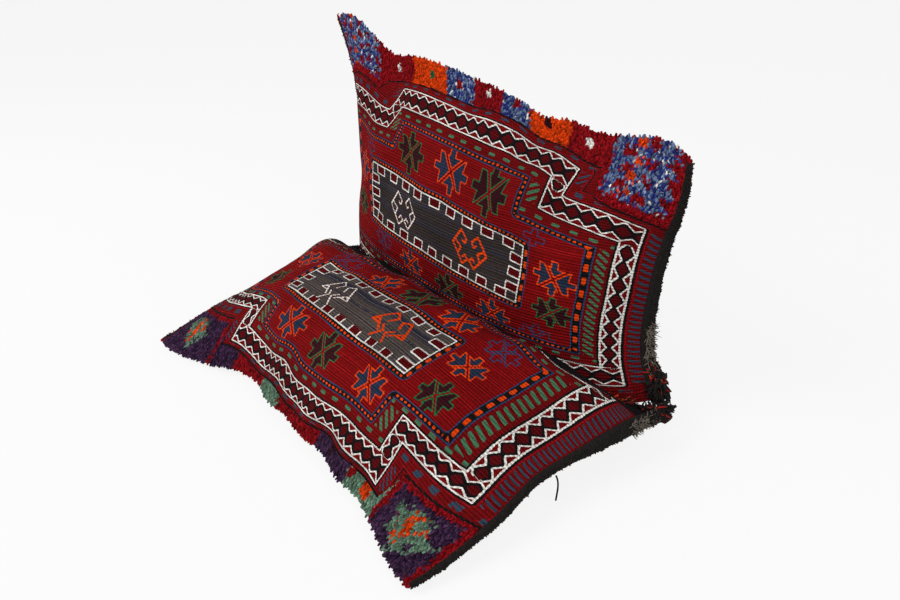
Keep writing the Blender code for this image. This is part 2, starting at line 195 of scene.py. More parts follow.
# The solids lie a little off the profiles' own origin, because the bag is centred on its box
coarse = np.linspace(-1.0, 1.0, 35)
coarse = 0.55 * coarse + 0.45 * np.sin(coarse * math.pi / 2)
plainSeat = pouchPoints(seatShape(), coarse, np.linspace(0.0, 1.0, 27), "face", True).reshape(-1, 3)
shift = np.array(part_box("seat_pouch")[0]) - plainSeat.min(axis=0)
shift[2] = 0.0
print("bag centred by", shift.round(4))


def aimCamera():
    c = cameraSet
    sideways, lift = c["azimuth"], c["elevation"]
    right = np.array([math.cos(sideways), math.sin(sideways), 0.0])
    up = np.array([-math.sin(sideways) * math.sin(lift), math.cos(sideways) * math.sin(lift),
                   math.cos(lift)])
    look = np.array([-math.sin(sideways) * math.cos(lift), math.cos(sideways) * math.cos(lift),
                     -math.sin(lift)])
    turnedRight = math.cos(c["roll"]) * right + math.sin(c["roll"]) * up
    turnedUp = -math.sin(c["roll"]) * right + math.cos(c["roll"]) * up
    place = np.array(c["target"]) - c["distance"] * look + shift
    data = bpy.data.cameras.new("studioCamera")
    data.lens = c["lens"]
    data.sensor_width = 36.0
    data.sensor_fit = "HORIZONTAL"
    data.clip_start = 0.05
    camera = bpy.data.objects.new("studioCamera", data)
    bpy.context.scene.collection.objects.link(camera)
    basis = Matrix((turnedRight, turnedUp, -look)).transposed().to_4x4()
    camera.matrix_world = Matrix.Translation(Vector(place)) @ basis
    bpy.context.scene.camera = camera


aimCamera()
print("camera in place")


def linearColour(hexText):
    channels = [int(hexText[k : k + 2], 16) / 255 for k in (0, 2, 4)]
    return [c / 12.92 if c <= 0.04045 else ((c + 0.055) / 1.055) ** 2.4 for c in channels]


# One node with its settings, and its inputs taken from other sockets
def addNode(tree, kind, settings=(), links=()):
    node = tree.nodes.new(kind)
    for name, value in dict(settings).items():
        if isinstance(name, int) or name in node.inputs:
            node.inputs[name].default_value = value
        else:
            setattr(node, name, value)
    for name, socket in dict(links).items():
        tree.links.new(socket, node.inputs[name])
    return node


# Wool colours, chosen and then matched to the mean colours of patches of the photo
woolColours = {
    "red": "8A1013", "borderRed": "720E11", "darkRed": "5A0C10", "charcoal": "3F3735", "stone": "5C524E",
    "white": "F6F3EB",
    "black": "1A1517", "blue": "25456B", "slate": "31485A", "orange": "F0480E", "green": "477A5A",
    "deepGreen": "1D6B41", "maroon": "37131A", "pileRed": "97121A", "greyBlue": "7488AC", "royal": "303C86",
    "sage": "6F8F78", "purple": "4C3150", "plum": "33203C", "rawBlue": "1D2A4C", "dustyRed": "8C2420",
    "slateGround": "34364A", "starBlue": "2A354B",
}
woolNames = list(woolColours)
woolLinear = np.array([linearColour(woolColours[name]) for name in woolNames])
woolIndex = {name: k for k, name in enumerate(woolNames)}

# A new material, with its node tree and its shader
def newMaterial(name, roughness, specular):
    material = bpy.data.materials.new(name)
    material.use_nodes = True
    tree = material.node_tree
    shader = tree.nodes["Principled BSDF"]
    shader.inputs["Roughness"].default_value = roughness
    shader.inputs["Specular IOR Level"].default_value = specular
    return material, tree, shader


def addBump(tree, shader, strength, distance, height):
    bump = addNode(tree, "ShaderNodeBump", {"Strength": strength, "Distance": distance}, {"Height": height})
    tree.links.new(bump.outputs["Normal"], shader.inputs["Normal"])


def linkPiece(name, data, material):
    data.materials.append(material)
    obj = bpy.data.objects.new(name, data)
    bpy.context.scene.collection.objects.link(obj)
    return obj


def addMap(mesh, name, places):
    layer = mesh.uv_layers.new(name=name)
    layer.data.foreach_set("uv", places.astype(np.float32).ravel())


# Faces of closed bodies outwards, whichever way their grid ran
def turnOutwards(mesh):
    shape = bmesh.new()
    shape.from_mesh(mesh)
    turned = shape.calc_volume(signed=True) < 0
    shape.free()
    if turned:
        mesh.flip_normals()
    mesh.shade_smooth()
    return turned


def recalcNormals(mesh):
    shape = bmesh.new()
    shape.from_mesh(mesh)
    bmesh.ops.recalc_face_normals(shape, faces=shape.faces)
    shape.to_mesh(mesh)
    shape.free()
    mesh.shade_smooth()


# Loose ends that would pass the floor are held just above it
def keepAboveFloor(mesh, height=0.0006):
    places = np.empty(len(mesh.vertices) * 3, np.float32)
    mesh.vertices.foreach_get("co", places)
    places = places.reshape(-1, 3)
    places[:, 2] = np.maximum(places[:, 2], height)
    mesh.vertices.foreach_set("co", places.ravel())


# The woven design, in shares of the half width and of the length from the mouth to the far fold.
# pullU and pullW are the rounded output of a least-squares fit to points of the photo, and so are
# some of the frame levels; the other levels, steps, pulls, edges and places were measured in the photo
# or adjusted to it
seatDesign = {
    "panel": (0.4422, 0.4572, 0.6436), "field": (0.772, 0.345, 0.718, 0.817),
    "inner": (0.868, 0.303, 0.741, 0.861),
    "outer": (0.934, 0.260, 0.796, 0.927), "fieldSteps": (-0.395, -0.395, 0.476, 0.484),
    "innerSteps": (-0.470, -0.472, 0.575, 0.563), "outerSteps": (-0.527, -0.524, 0.655, 0.628),
    "pullU": (-0.141, -0.002, 0.063, 0.004, 0.193, 0.079, -0.015),
    "pullW": (0.069, -0.005, 0.106, 0.035, -0.035, 0.079, 0.079, 0.017, 0.029, -0.040),
    "mouthPull": [(-1, 0), (-0.6, 0), (-0.3, 0.03), (0, 0.07), (0.3, 0.085), (0.6, 0.045), (0.75, 0.015),
                  (0.9, 0.02), (1, 0.04)],
    "highPull": [(-1, -0.005), (-0.6, -0.014), (-0.522, -0.018), (-0.293, 0.021), (-0.127, -0.006),
                 (-0.013, 0.0165), (0.119, 0.008), (0.348, -0.003), (0.5, -0.004), (0.657, 0.004),
                 (0.8, 0.006), (1, -0.007)],
    "creaseEdge": [(-1, 0.25), (-0.75, 0.27), (-0.6, 0.30), (-0.3, 0.335), (0.48, 0.335), (0.62, 0.302),
                   (0.84, 0.298), (0.92, 0.262), (1, 0.25)],
    "pile": [(-1.0, 0.845), (-0.58, 0.855), (-0.56, 0.950), (0.0, 0.958), (0.70, 0.945), (0.725, 0.850),
             (1.0, 0.838)],
    "mmAcross": 390.0, "mmAlong": 520.0, "endPeriod": 21.0, "sidePeriod": 24.0, "barPeriod": 12.4,
    "barSlant": 0.42, "dotStep": 21.0,
    "guardLean": -0.5, "guardStep": 8.6,
    "stars": [(-84, 380, 38, 33, 0), (19, 381, 35, 34, 1), (138, 382, 34, 34, 0), (237, 334, 31, 32, 1),
              (222, 261, 33, 27, 0), (232, 208, 31, 19, 2), (127, 208, 38, 18, 0), (29, 209, 35, 20, 1),
              (-52, 214, 30, 18, 0), (-161, 211, 33, 25, 2), (-230, 252, 33, 28, 0),
              (-246, 325, 32, 30, 1)],
}
backDesign = {
    "panel": (0.5386, 0.328, 0.5312), "field": (0.817, 0.200, 0.630, 0.747),
    "inner": (0.884, 0.159, 0.680, 0.795),
    "outer": (0.940, 0.082, 0.760, 0.871), "fieldSteps": (-0.372, -0.300, 0.486, 0.484),
    "innerSteps": (-0.455, -0.343, 0.564, 0.558), "outerSteps": (-0.482, -0.374, 0.645, 0.630),
    "pullU": (-0.113, 0.078, 0.120, -0.082, 0.052, 0.152, -0.095),
    "pullW": (-0.028, 0.254, 0.117, -0.049, 0.045, 0.058, 0.057, -0.036, 0.083, -0.024),
    "mouthPull": [(-1, 0), (1, 0)],
    "highPull": [(-1, -0.08), (-0.76, -0.03), (-0.48, -0.012), (-0.377, -0.024), (-0.1, -0.013),
                 (0.12, -0.001), (0.24, 0.010), (0.40, 0.031), (0.545, 0.012), (0.645, 0.001),
                 (0.95, -0.003), (1, -0.003)],
    "creaseEdge": [(-1, 0), (1, 0)],
    "pile": [(-1.0, 0.815), (-0.60, 0.82), (-0.52, 0.885), (-0.4, 0.907), (0.6, 0.910), (0.725, 0.905),
             (0.745, 0.80), (0.82, 0.785), (1.0, 0.79)],
    "mmAcross": 380.0, "mmAlong": 520.0, "endPeriod": 24.0, "sidePeriod": 31.5, "barPeriod": 12.6,
    "barSlant": -0.75, "dotStep": 25.0,
    "guardLean": 0.5, "guardStep": 12.5,
    "stars": [(-81, 332, 41, 41, 1), (32, 337, 40, 44, 0), (122, 339, 38, 46, 1), (262, 243, 35, 33, 0),
              (267, 178, 33, 30, 1), (243, 116, 33, 26, 2), (156, 127, 38, 28, 0), (46, 129, 39, 27, 1),
              (-65, 133, 34, 26, 0), (-155, 145, 28, 22, 2), (-253, 252, 32, 30, 0),
              (-262, 178, 30, 28, 1)],
}
starFills = ("starBlue", "maroon", "red")
far = 60.0


# Where each place of the surface lies in the woven design: the stuffed cloth is pulled a little askew
def clothPlace(design, across, along):
    X = across[:, None] + 0 * along[None, :]
    V = along[None, :] + 0 * across[:, None]
    b = 1 - X * X
    u = design["pullU"]
    U = X + b * (u[0] + u[1] * X + u[2] * V + u[3] * X * V + u[4] * X * X + u[5] * V * V + u[6] * X * V * V)
    b = V * (1 - V)
    w = design["pullW"]
    W = V + b * (w[0] + w[1] * X + w[2] * X * X + w[3] * V + w[4] * X * V + w[5] * X * X * V + w[6] * X**4
                 + w[7] * V * V + w[8] * X**3 + w[9] * X * V * V)
    W = W + valueThrough(design["mouthPull"], across)[:, None] * (1 - smoothStep(W, 0.26, 0.46))
    return U, W - valueThrough(design["highPull"], U) * smoothStep(W, 0.62, 0.78)


# A frame line of the design in mm: straight at the mouth, stepped at the far corners
def frameLine(design, name, grow=0.0):
    sx, sy = design["mmAcross"], design["mmAlong"]
    half, low, corner, high = design[name]
    a, b, c, d = design[name + "Steps"]
    return {"half": half * sx + grow, "low": low * sy - grow, "corner": corner * sy + grow,
            "high": high * sy + grow,
            "left": (a * sx - grow, b * sx - grow), "right": (d * sx + grow, c * sx + grow)}


def stepAt(line, y, side):
    t = np.clip((y - line["corner"]) / (line["high"] - line["corner"]), 0, 1)
    foot, top = line[side]
    return foot + (top - foot) * t


# Signed distance in mm to a frame line, below zero inside it
def frameDistance(x, y, line):
    pts = [(-line["half"], line["low"]), (-line["half"], line["corner"]), (line["left"][0], line["corner"]),
           (line["left"][1], line["high"]), (line["right"][1], line["high"]),
           (line["right"][0], line["corner"]), (line["half"], line["corner"]), (line["half"], line["low"])]
    best = np.full(x.shape, 1e9)
    inside = np.zeros(x.shape, bool)
    run = 0.0
    place = np.zeros(x.shape)
    for p, q in zip(pts, pts[1:] + pts[:1]):
        dx, dy = q[0] - p[0], q[1] - p[1]
        length = math.hypot(dx, dy)
        t = np.clip(((x - p[0]) * dx + (y - p[1]) * dy) / length**2, 0, 1)
        gap = np.hypot(x - p[0] - t * dx, y - p[1] - t * dy)
        place = np.where(gap < best, run + t * length, place)
        best = np.minimum(best, gap)
        run += length
        crossing = p[0] + (y - p[1]) / (dy if abs(dy) > 1e-9 else 1e-9) * dx
        inside ^= ((p[1] > y) != (q[1] > y)) & (x < crossing)
    return np.where(inside, -best, best), place


# Between two frame lines: the share of the way out, the mm along, the width in mm and the kind of stretch
def bandBetween(x, y, inner, outer):
    share, run, width = np.full(x.shape, -1.0), np.zeros(x.shape), np.ones(x.shape)
    kind = np.full(x.shape, -1)

    def lay(where, r, s, w, k):
        where = where & (r >= 0) & (r <= 1) & (kind < 0)
        share[where], run[where] = r[where], s[where]
        width[where] = (w + 0 * x)[where]
        kind[where] = k

    leftOut, rightOut = stepAt(outer, y, "left"), stepAt(outer, y, "right")
    leftIn, rightIn = stepAt(inner, y, "left"), stepAt(inner, y, "right")
    tall = outer["high"] - inner["high"]
    lay((x > leftOut) & (x < rightOut), (y - inner["high"]) / tall, x, tall, 0)
    between = (y >= outer["corner"]) & (y < inner["high"])
    lay(between & (x < leftIn), (leftIn - x) / (leftIn - leftOut), y, leftIn - leftOut, 2)
    lay(between & (x > rightIn), (x - rightIn) / (rightOut - rightIn), y, rightOut - rightIn, 2)
    tall = outer["corner"] - inner["corner"]
    beyond = ((x < leftIn) | (x > rightIn)) & (np.abs(x) < outer["half"])
    lay(beyond, (y - inner["corner"]) / tall, x, tall, 0)
    tall = inner["low"] - outer["low"]
    lay(np.abs(x) < outer["half"], (inner["low"] - y) / tall, x, tall, 0)
    wide = outer["half"] - inner["half"]
    lay((y > inner["low"]) & (y < inner["corner"]), (np.abs(x) - inner["half"]) / wide, y, wide, 1)
    return share, run, width, kind


def triangleWave(x, period):
    return 1 - np.abs(2 * ((x / period) % 1.0) - 1)


def strokeDistance(x, y, path):
    best = np.full(x.shape, far)
    for p, q in zip(path[:-1], path[1:]):
        dx, dy = q[0] - p[0], q[1] - p[1]
        t = np.clip(((x - p[0]) * dx + (y - p[1]) * dy) / max(dx * dx + dy * dy, 1e-9), 0, 1)
        best = np.minimum(best, np.hypot(x - p[0] - t * dx, y - p[1] - t * dy))
    return best


def nearest(first, second):
    return np.where(np.abs(first) < np.abs(second), first, second)


# Star of four stepped leaves between two crossing arms, as a distance in mm
def starDistance(x, y, half, tall):
    p, q = np.abs(x) / half, np.abs(y) / tall
    body = np.maximum((p - 0.62 - 0.16 * q) * half, (q - 0.60 - 0.10 * p) * tall)
    nubs = np.minimum(np.maximum((p - 0.15) * half, (q - 0.98) * tall),
                      np.maximum((p - 0.98) * half, (q - 0.16) * tall))
    across = np.abs(x - 0.14 * y)
    arm = np.abs(across * tall - np.abs(y) * 0.72 * half) / math.hypot(tall, 0.72 * half)
    return np.maximum(np.minimum(body, nubs), min(2.8, 0.075 * (half + tall) / 2) - arm)


# Hooked lozenges of the medallions, the right half of each, in mm, measured in the photo
backHooks = [[(15.6, 11.5), (9.9, 7.4), (5.8, 15.6), (18.9, 28.8), (37.8, 0.8), (14.0, -30.0), (2.1, -19.0),
              (8.2, -12.3), (14.0, -18.0)],
             [(31.3, 6.6), (18.9, -1.6), (23.0, -10.7), (25.5, -15.6)]]
seatHooks = [[(12.3, 14.0), (20.6, 5.5), (38.0, 5.0), (16.4, -30.4), (4.9, -21.4), (12.3, -7.4)],
             [(15.6, 30.4), (3.3, 11.5), (13.2, 1.6)],
             [(20.6, 5.0), (28.0, -3.3), (33.0, 0.0)]]


# Every figure of the design as distances in mm, below zero inside a figure or beyond a line
def designFigures(U, W, design, seat):
    sx, sy = design["mmAcross"], design["mmAlong"]
    x, y = U * sx, W * sy
    figures = {}
    field, inner, outer = (frameLine(design, name) for name in ("field", "inner", "outer"))
    guard = frameLine(design, "outer", 30.0)
    dField, runField = frameDistance(x, y, field)
    dInner = frameDistance(x, y, inner)[0]
    dOuter = frameDistance(x, y, outer)[0]
    share, run, width, kind = bandBetween(x, y, inner, outer)
    side = kind == 1
    nearSide = np.clip((np.abs(x) - inner["half"] + 6) / 6, 0, 1)
    nearSide = nearSide * (y < inner["corner"] - 4) * (y > inner["low"] + 4)
    figures["outerLine"], figures["innerLine"] = dOuter, dInner / (1 + 0.2 * nearSide)
    upright = (np.abs(x) > field["half"] - 14) & (dField < 0)
    dBand = np.where(upright, dField * 0.78, dField)
    figures["fieldLine"] = dBand

    # The main border's zigzags, mirrored about its middle
    inward = np.minimum(share, 1 - share) * width
    period = np.where(side, design["sidePeriod"], design["endPeriod"])
    wave = triangleWave(run + np.where(side, 0.3, 0.0) * period, period)
    rise = np.where(side, 0.33, 0.26) * width
    whiteLevel = np.where(side, 0.03, 0.06) * width + rise * wave
    steep = 1 / np.sqrt(1 + (rise / (period / 2)) ** 2)
    blackLevel = np.where(side, 0.15, 0.18) * width + np.where(side, 0.35, 0.32) * width * wave
    inBand = kind >= 0
    thinner = np.where(side & (share < 0.5), 1.15, 1.0)
    figures["whiteZig"] = np.where(inBand, (inward - whiteLevel) * steep / thinner, far)
    figures["blackZig"] = np.where(inBand, (inward - blackLevel) * steep, far)
    figures["inBand"] = inBand

    # Guard stripes inside and outside the main border
    share, run, width, kind = bandBetween(x, y, field, inner)
    out = share * width
    middle = np.where(kind == 0, 0.40, 0.44) * width
    slant = np.where(kind == 2, 1.0, design["barSlant"]) * np.sign(x)
    dash = np.maximum(np.abs((run % 29.0) - 14.5) - 6.2, np.abs(out - middle) - 2.8)
    step = design["barPeriod"]
    bar = np.maximum(np.abs(((run - slant * out) % step) - step / 2) - 0.25 * step,
                     np.abs(out - middle) - 0.28 * width)
    figures["green"] = np.where(kind == 0, dash, np.where(kind > 0, bar, far))
    share, run, width, kind = bandBetween(x, y, outer, guard)
    out = share * width
    narrow = (np.abs(x) < 200) & (design["barSlant"] > 0)
    dash = np.maximum(np.abs((run % 31.0) - 15.5) - 7.0,
                      np.abs(out - np.where(narrow, 7.5, 13.0)) - np.where(narrow, 3.0, 4.8))
    ribbed = np.abs(((out - 13.0) % 3.3) - 1.65) - 1.3
    lean = np.where(kind == 2, -1.0, design["guardLean"]) * np.sign(x)
    step = design["guardStep"]
    bar = np.maximum(np.abs(((run + lean * out - 0.06 * design["guardLean"] * (out - 12) ** 2) % step)
                            - step / 2) - 0.2 * step, np.abs(out - 13.0) - 6.5)
    figures["slate"] = np.where(kind == 0, np.maximum(dash, ribbed), np.where(kind > 0, bar, far))

    # Medallion: its frame, its hanging squares and its two hooked lozenges
    half, low, high = design["panel"]
    cell = half * sx / 9.5
    cellUp = (high - low) * sy / 7.0
    a, b = x / cell, (y - low * sy) / cellUp
    boxX, boxY = np.abs(x) - half * sx, np.abs(y - (low + high) / 2 * sy) - (high - low) / 2 * sy
    medallion = np.where((boxX > 0) & (boxY > 0), np.hypot(boxX, boxY), np.maximum(boxX, boxY))
    figures["medallion"] = medallion
    squares = np.full(x.shape, far)
    heart = np.full(x.shape, far)
    if seat:
        squareRows = ((7, -6.9, 6.6, 7.0, -1), (8, -7.5, 7.1, 0.0, 1))
    else:
        squareRows = ((9, -8.0, 8.1, 7.0, -1), (9, -8.0, 8.0, 0.0, 1))
    for count, first, last, edge, sign in squareRows:
        openEnd = seat and sign < 0
        for k in range(count):
            gapX = np.abs(a - first - (last - first) / (count - 1) * k) - 0.54
            depth = (b - edge) * sign
            box = np.maximum(gapX * cell, (depth - (9.0 if openEnd else 1.05)) * cellUp)
            box = np.where(depth < (1.05 if openEnd else 9), box, far)
            squares = nearest(squares, np.where(depth > -0.3, box, far))
            heart = np.minimum(heart, np.maximum(np.maximum(gapX * cell, (depth - 1.0) * cellUp),
                                                 -depth * cellUp))
    for edge, sign in ((-9.5, 1), (9.5, -1)):
        for middleB in (1.75, 4.05, 6.0) if seat else (1.66, 3.4, 5.1):
            gapY = np.abs(b - middleB) - 0.5
            depth = (a - edge) * sign
            box = np.maximum(gapY * cellUp, (depth - (1.45 if seat else 1.1)) * cell)
            squares = nearest(squares, np.where(depth > -0.3, box, far))
            heart = np.minimum(heart, np.maximum(box, -depth * cell))
    figures["squares"] = np.where(medallion < 1, squares, far)
    figures["squareHearts"] = np.where(medallion < 0, heart, far)
    for name, atX, atY in (("whiteHook", -69 if seat else -90, 291 if seat else 222),
                           ("orangeHook", 78 if seat else 95, 288 if seat else 222)):
        best = np.full(x.shape, far)
        for path in seatHooks if seat else backHooks:
            best = np.minimum(best, strokeDistance(np.abs(x - atX), y - atY, path))
        figures[name] = best

    # Leaf stars in the field
    free = (dField < -11) & (medallion > 12)
    for k in range(3):
        figures["star%d" % k] = np.full(x.shape, far)
    for atX, atY, half, tall, ink in design["stars"]:
        leaf = starDistance(x - atX, y - atY, half, tall)
        name = "star%d" % ink
        figures[name] = nearest(figures[name], np.where(free, leaf, far))
        figures[name] = np.where(free & (leaf < 0), leaf, figures[name])
    for sign in (-1, 1) if not seat else ():
        offX, offY = np.abs(x - 220 * sign), np.abs(y - 300)
        cross = np.minimum(np.maximum(offX - 5, offY - 15), np.maximum(offY - 5, offX - 18))
        figures["star2"] = nearest(figures["star2"], np.where(free, cross, far))

    # Orange dots between the blue lines round the field and round the medallion
    step = np.where(upright, design["dotStep"], 8.6)
    dots = np.maximum(np.abs((runField % step) - step / 2) - 0.28 * step,
                      np.abs(dBand + 4.7) - np.where(upright, 2.4, 2.0))
    step = np.where((boxX > 0) & (boxY < 0), design["dotStep"] * 0.85, 8.4)
    along = np.where((boxX > 0) & (boxY < 0), y, x)
    ring = np.maximum(np.abs((along % step) - step / 2) - 0.28 * step,
                      np.abs(medallion - 6.4) - np.where(step > 10, 2.6, 2.0))
    figures["dots"] = np.minimum(np.where(dField < 0, dots, far), np.where(medallion > 0, ring, far))
    # Painted shade: the seat's face below the crease edge, deep in the crease between the pouches, is
    # marked to be painted black
    figures["hidden"] = W < np.interp(U, *zip(*design["creaseEdge"]))
    figures["pileEdge"] = (np.interp(U, *zip(*design["pile"])) - W) * sy
    return figures


# The wool of every cell of the face, as a number in woolNames
def groundInk(figures, seat):
    f = figures
    ink = np.full(f["outerLine"].shape, woolIndex["borderRed"])
    ink[f["inBand"]] = woolIndex["black"]
    ink[f["inBand"] & (f["whiteZig"] < 0)] = woolIndex["borderRed"]
    ink[f["inBand"] & (f["blackZig"] > 0)] = woolIndex["darkRed"]
    inField = f["fieldLine"] < 0
    ink[inField] = woolIndex["red"]
    ink[inField & (f["fieldLine"] > -9.4)] = woolIndex["black"]
    ink[(f["medallion"] > 0) & (f["medallion"] < 10.5)] = woolIndex["black"]
    for k, fill in enumerate(starFills):
        ink[f["star%d" % k] < 0] = woolIndex[fill]
    ink[f["medallion"] < 0] = woolIndex["stone" if seat else "charcoal"]
    ink[f["squareHearts"] < 0] = woolIndex["darkRed"]
    return ink


def pileInk(ink, above, U, W, seat):
    pile = above > 0
    ink[pile] = woolIndex["pileRed"]
    speck = luck.rand(*U.shape)
    u, w = U + luck.normal(0, 0.004, U.shape), W + luck.normal(0, 0.004, U.shape)
    if seat:
        blocks = [(-0.45, "purple"), (-0.24, "pileRed"), (-0.07, "sage"), (0.25, "pileRed"),
                  (0.51, "purple"), (0.72, "sage")]
        dots = [(0.62, "orange"), (0.65, "orange"), (0.38, "maroon"), (0.53, "pileRed")]
    else:
        blocks = [(-0.318, "pileRed"), (-0.066, "orange"), (0.104, "greyBlue"), (0.257, "pileRed"),
                  (0.386, "greyBlue"), (0.568, "orange"), (0.74, "pileRed")]
        dots = [(-0.44, "white"), (-0.183, "deepGreen"), (0.01, "pileRed"), (0.19, "white"),
                (0.33, "pileRed"), (0.47, "maroon"), (0.649, "white")]
    start = -0.57 if seat else -0.60
    for end, name in blocks:
        ink[pile & (u >= start) & (u < end)] = woolIndex[name]
        start = end
    for at, name in dots:
        ink[pile & (np.abs(U - at) < 0.014) & (np.abs(W - 0.960) < 0.015)] = woolIndex[name]
    for sign in (-1, 1):
        edge = (0.74 if seat else 0.72) if sign > 0 else (0.59 if seat else 0.56)
        corner = pile & (u * sign > edge)
        ink[corner] = woolIndex["purple" if seat else "pileRed"]
        heart = corner & (u * sign > edge + 0.03) & (u * sign < 0.97) & (above > 13)
        if seat:
            ink[corner & ((u * sign > 0.975) | (above < 5))] = woolIndex["pileRed"]
            ink[heart] = woolIndex["purple"]
            across, up = (u - (0.865 if sign > 0 else -0.775)) * 350, (w - 0.915) * 520
            checks = np.sign(np.sin(across / 6.5)) * np.sign(np.sin(up / 6.5))
            steps = np.abs(across) + np.abs(up) + 6 * checks
            ink[heart & (steps < 34)] = woolIndex["sage"]
            cross = (np.abs(across - 0.25 * up) < 4.5) | (np.sin(across / 4.2) * np.sin(up / 4.2) > 0.35)
            ink[heart & (steps < 22) & cross] = woolIndex["orange"]
        else:
            ink[heart] = woolIndex["greyBlue"]
            across, up = np.floor(u * 380 / 15), np.floor(w * 520 / 13)
            ink[heart & ((across + 2 * up) % 4 == 0)] = woolIndex["pileRed"]
            ink[heart & (np.abs(u - 0.84 * sign) < 0.016) & (up % 2 == 1)] = woolIndex["orange"]
    mottled = pile & (ink == woolIndex["greyBlue"])
    ink[mottled & (speck < 0.45)] = woolIndex["royal"]
    ink[mottled & (speck > 0.95)] = woolIndex["white"]
    purple = pile & (ink == woolIndex["purple"])
    ink[purple & (speck < 0.35)] = woolIndex["plum"]
    return ink


# Linear colours with the uneven dye of hand spun wool: rows differ, and every wrap differs a little;
# painted shade makes every other row darker on the red field and the medallion ground
def shadeOfInk(ink, pile):
    colours = woolLinear[ink]
    rows = np.convolve(luck.normal(0, 1, ink.shape[1]), np.ones(3) / 3, mode="same")
    factor = 1.0 + 0.12 * rows[None, :] + luck.normal(0, 0.10, ink.shape)
    # Painted shade: every other row darker and the next lighter, as the grooves and crests of the ribs are
    # lit, on the red field and the medallion ground but not on the pile
    grooveRowShade = np.where((np.arange(ink.shape[1]) % 2)[None, :] == 0, 0.66, 1.14)
    reds = (ink == woolIndex["red"]) | (ink == woolIndex["charcoal"]) | (ink == woolIndex["stone"])
    factor = np.where(reds & ~pile, factor * grooveRowShade, factor)
    # Wraps of brown and bluish wool run through the medallion
    streak = luck.rand(ink.shape[1])[None, :] + 0.25 * luck.rand(*ink.shape)
    ground = (ink == woolIndex["charcoal"]) | (ink == woolIndex["stone"])
    colours = np.where((ground & (streak > 0.95))[..., None], woolLinear[woolIndex["slateGround"]], colours)
    return np.clip(colours * np.clip(factor, 0.35, 1.8)[..., None], 0, 1)


# Places across the pouch that are evenly spaced over its curved face
def evenPlaces(pouch, lying, count):
    fine = np.sin(np.linspace(-1, 1, 801) * math.pi / 2)
    line = pouchPoints(pouch, fine, np.array([0.55]), "face", lying)[:, 0]
    run = np.concatenate([[0.0], np.cumsum(np.linalg.norm(np.diff(line, axis=0), axis=1))])
    places = np.interp(np.linspace(0, run[-1], count), run, fine)
    places[0], places[-1] = -1.0, 1.0
    return places


# Soft unevenness over the surface: a few crossing waves
def waves(across, along, seed, amount):
    source = np.random.RandomState(seed)
    total = np.zeros((len(across), len(along)))
    for k in range(16):
        fu, fv = source.uniform(1.5, 10), source.uniform(1.5, 9)
        turn, strength = source.uniform(0, 6.28), source.normal() / (1 + 0.35 * math.hypot(fu, fv))
        total += strength * np.sin(fu * across[:, None] * 3.0 + fv * along[None, :] * 3.2
                                   * (1 if k % 2 else -1) + turn)
    return total * amount


def gridFaces(index, flip=False):
    a, b, c, d = index[:-1, :-1].ravel(), index[1:, :-1].ravel(), index[1:, 1:].ravel(), index[:-1,
            1:].ravel()
    quads = np.stack([a, b, c, d], axis=1)
    return quads[:, ::-1] if flip else quads


def gridNormals(grid):
    n = np.cross(np.gradient(grid, axis=0), np.gradient(grid, axis=1))
    return n / np.maximum(np.linalg.norm(n, axis=2, keepdims=True), 1e-9)


def addAttribute(mesh, name, kind, domain, values):
    attribute = mesh.attributes.new(name, kind, domain)
    key = {"FLOAT_COLOR": "color", "FLOAT_VECTOR": "vector", "FLOAT": "value"}[kind]
    if kind == "FLOAT_COLOR":
        values = np.concatenate([values, np.ones((len(values), 1))], axis=1)
    attribute.data.foreach_set(key, np.ascontiguousarray(values, np.float32).ravel())


# The figures that the shader draws as crisp strokes: three distances to an attribute
strokeSets = {
    "frames": ("outerLine", "innerLine", "medallion"), "zigs": ("whiteZig", "blackZig", "squares"),
    "stars": ("star0", "star1", "star2"), "guards": ("dots", "green", "slate"),
    "hooks": ("whiteHook", "orangeHook", "fieldLine"),
}
coverSet = {"columns": 352, "rows": 248, "rearEvery": 4}


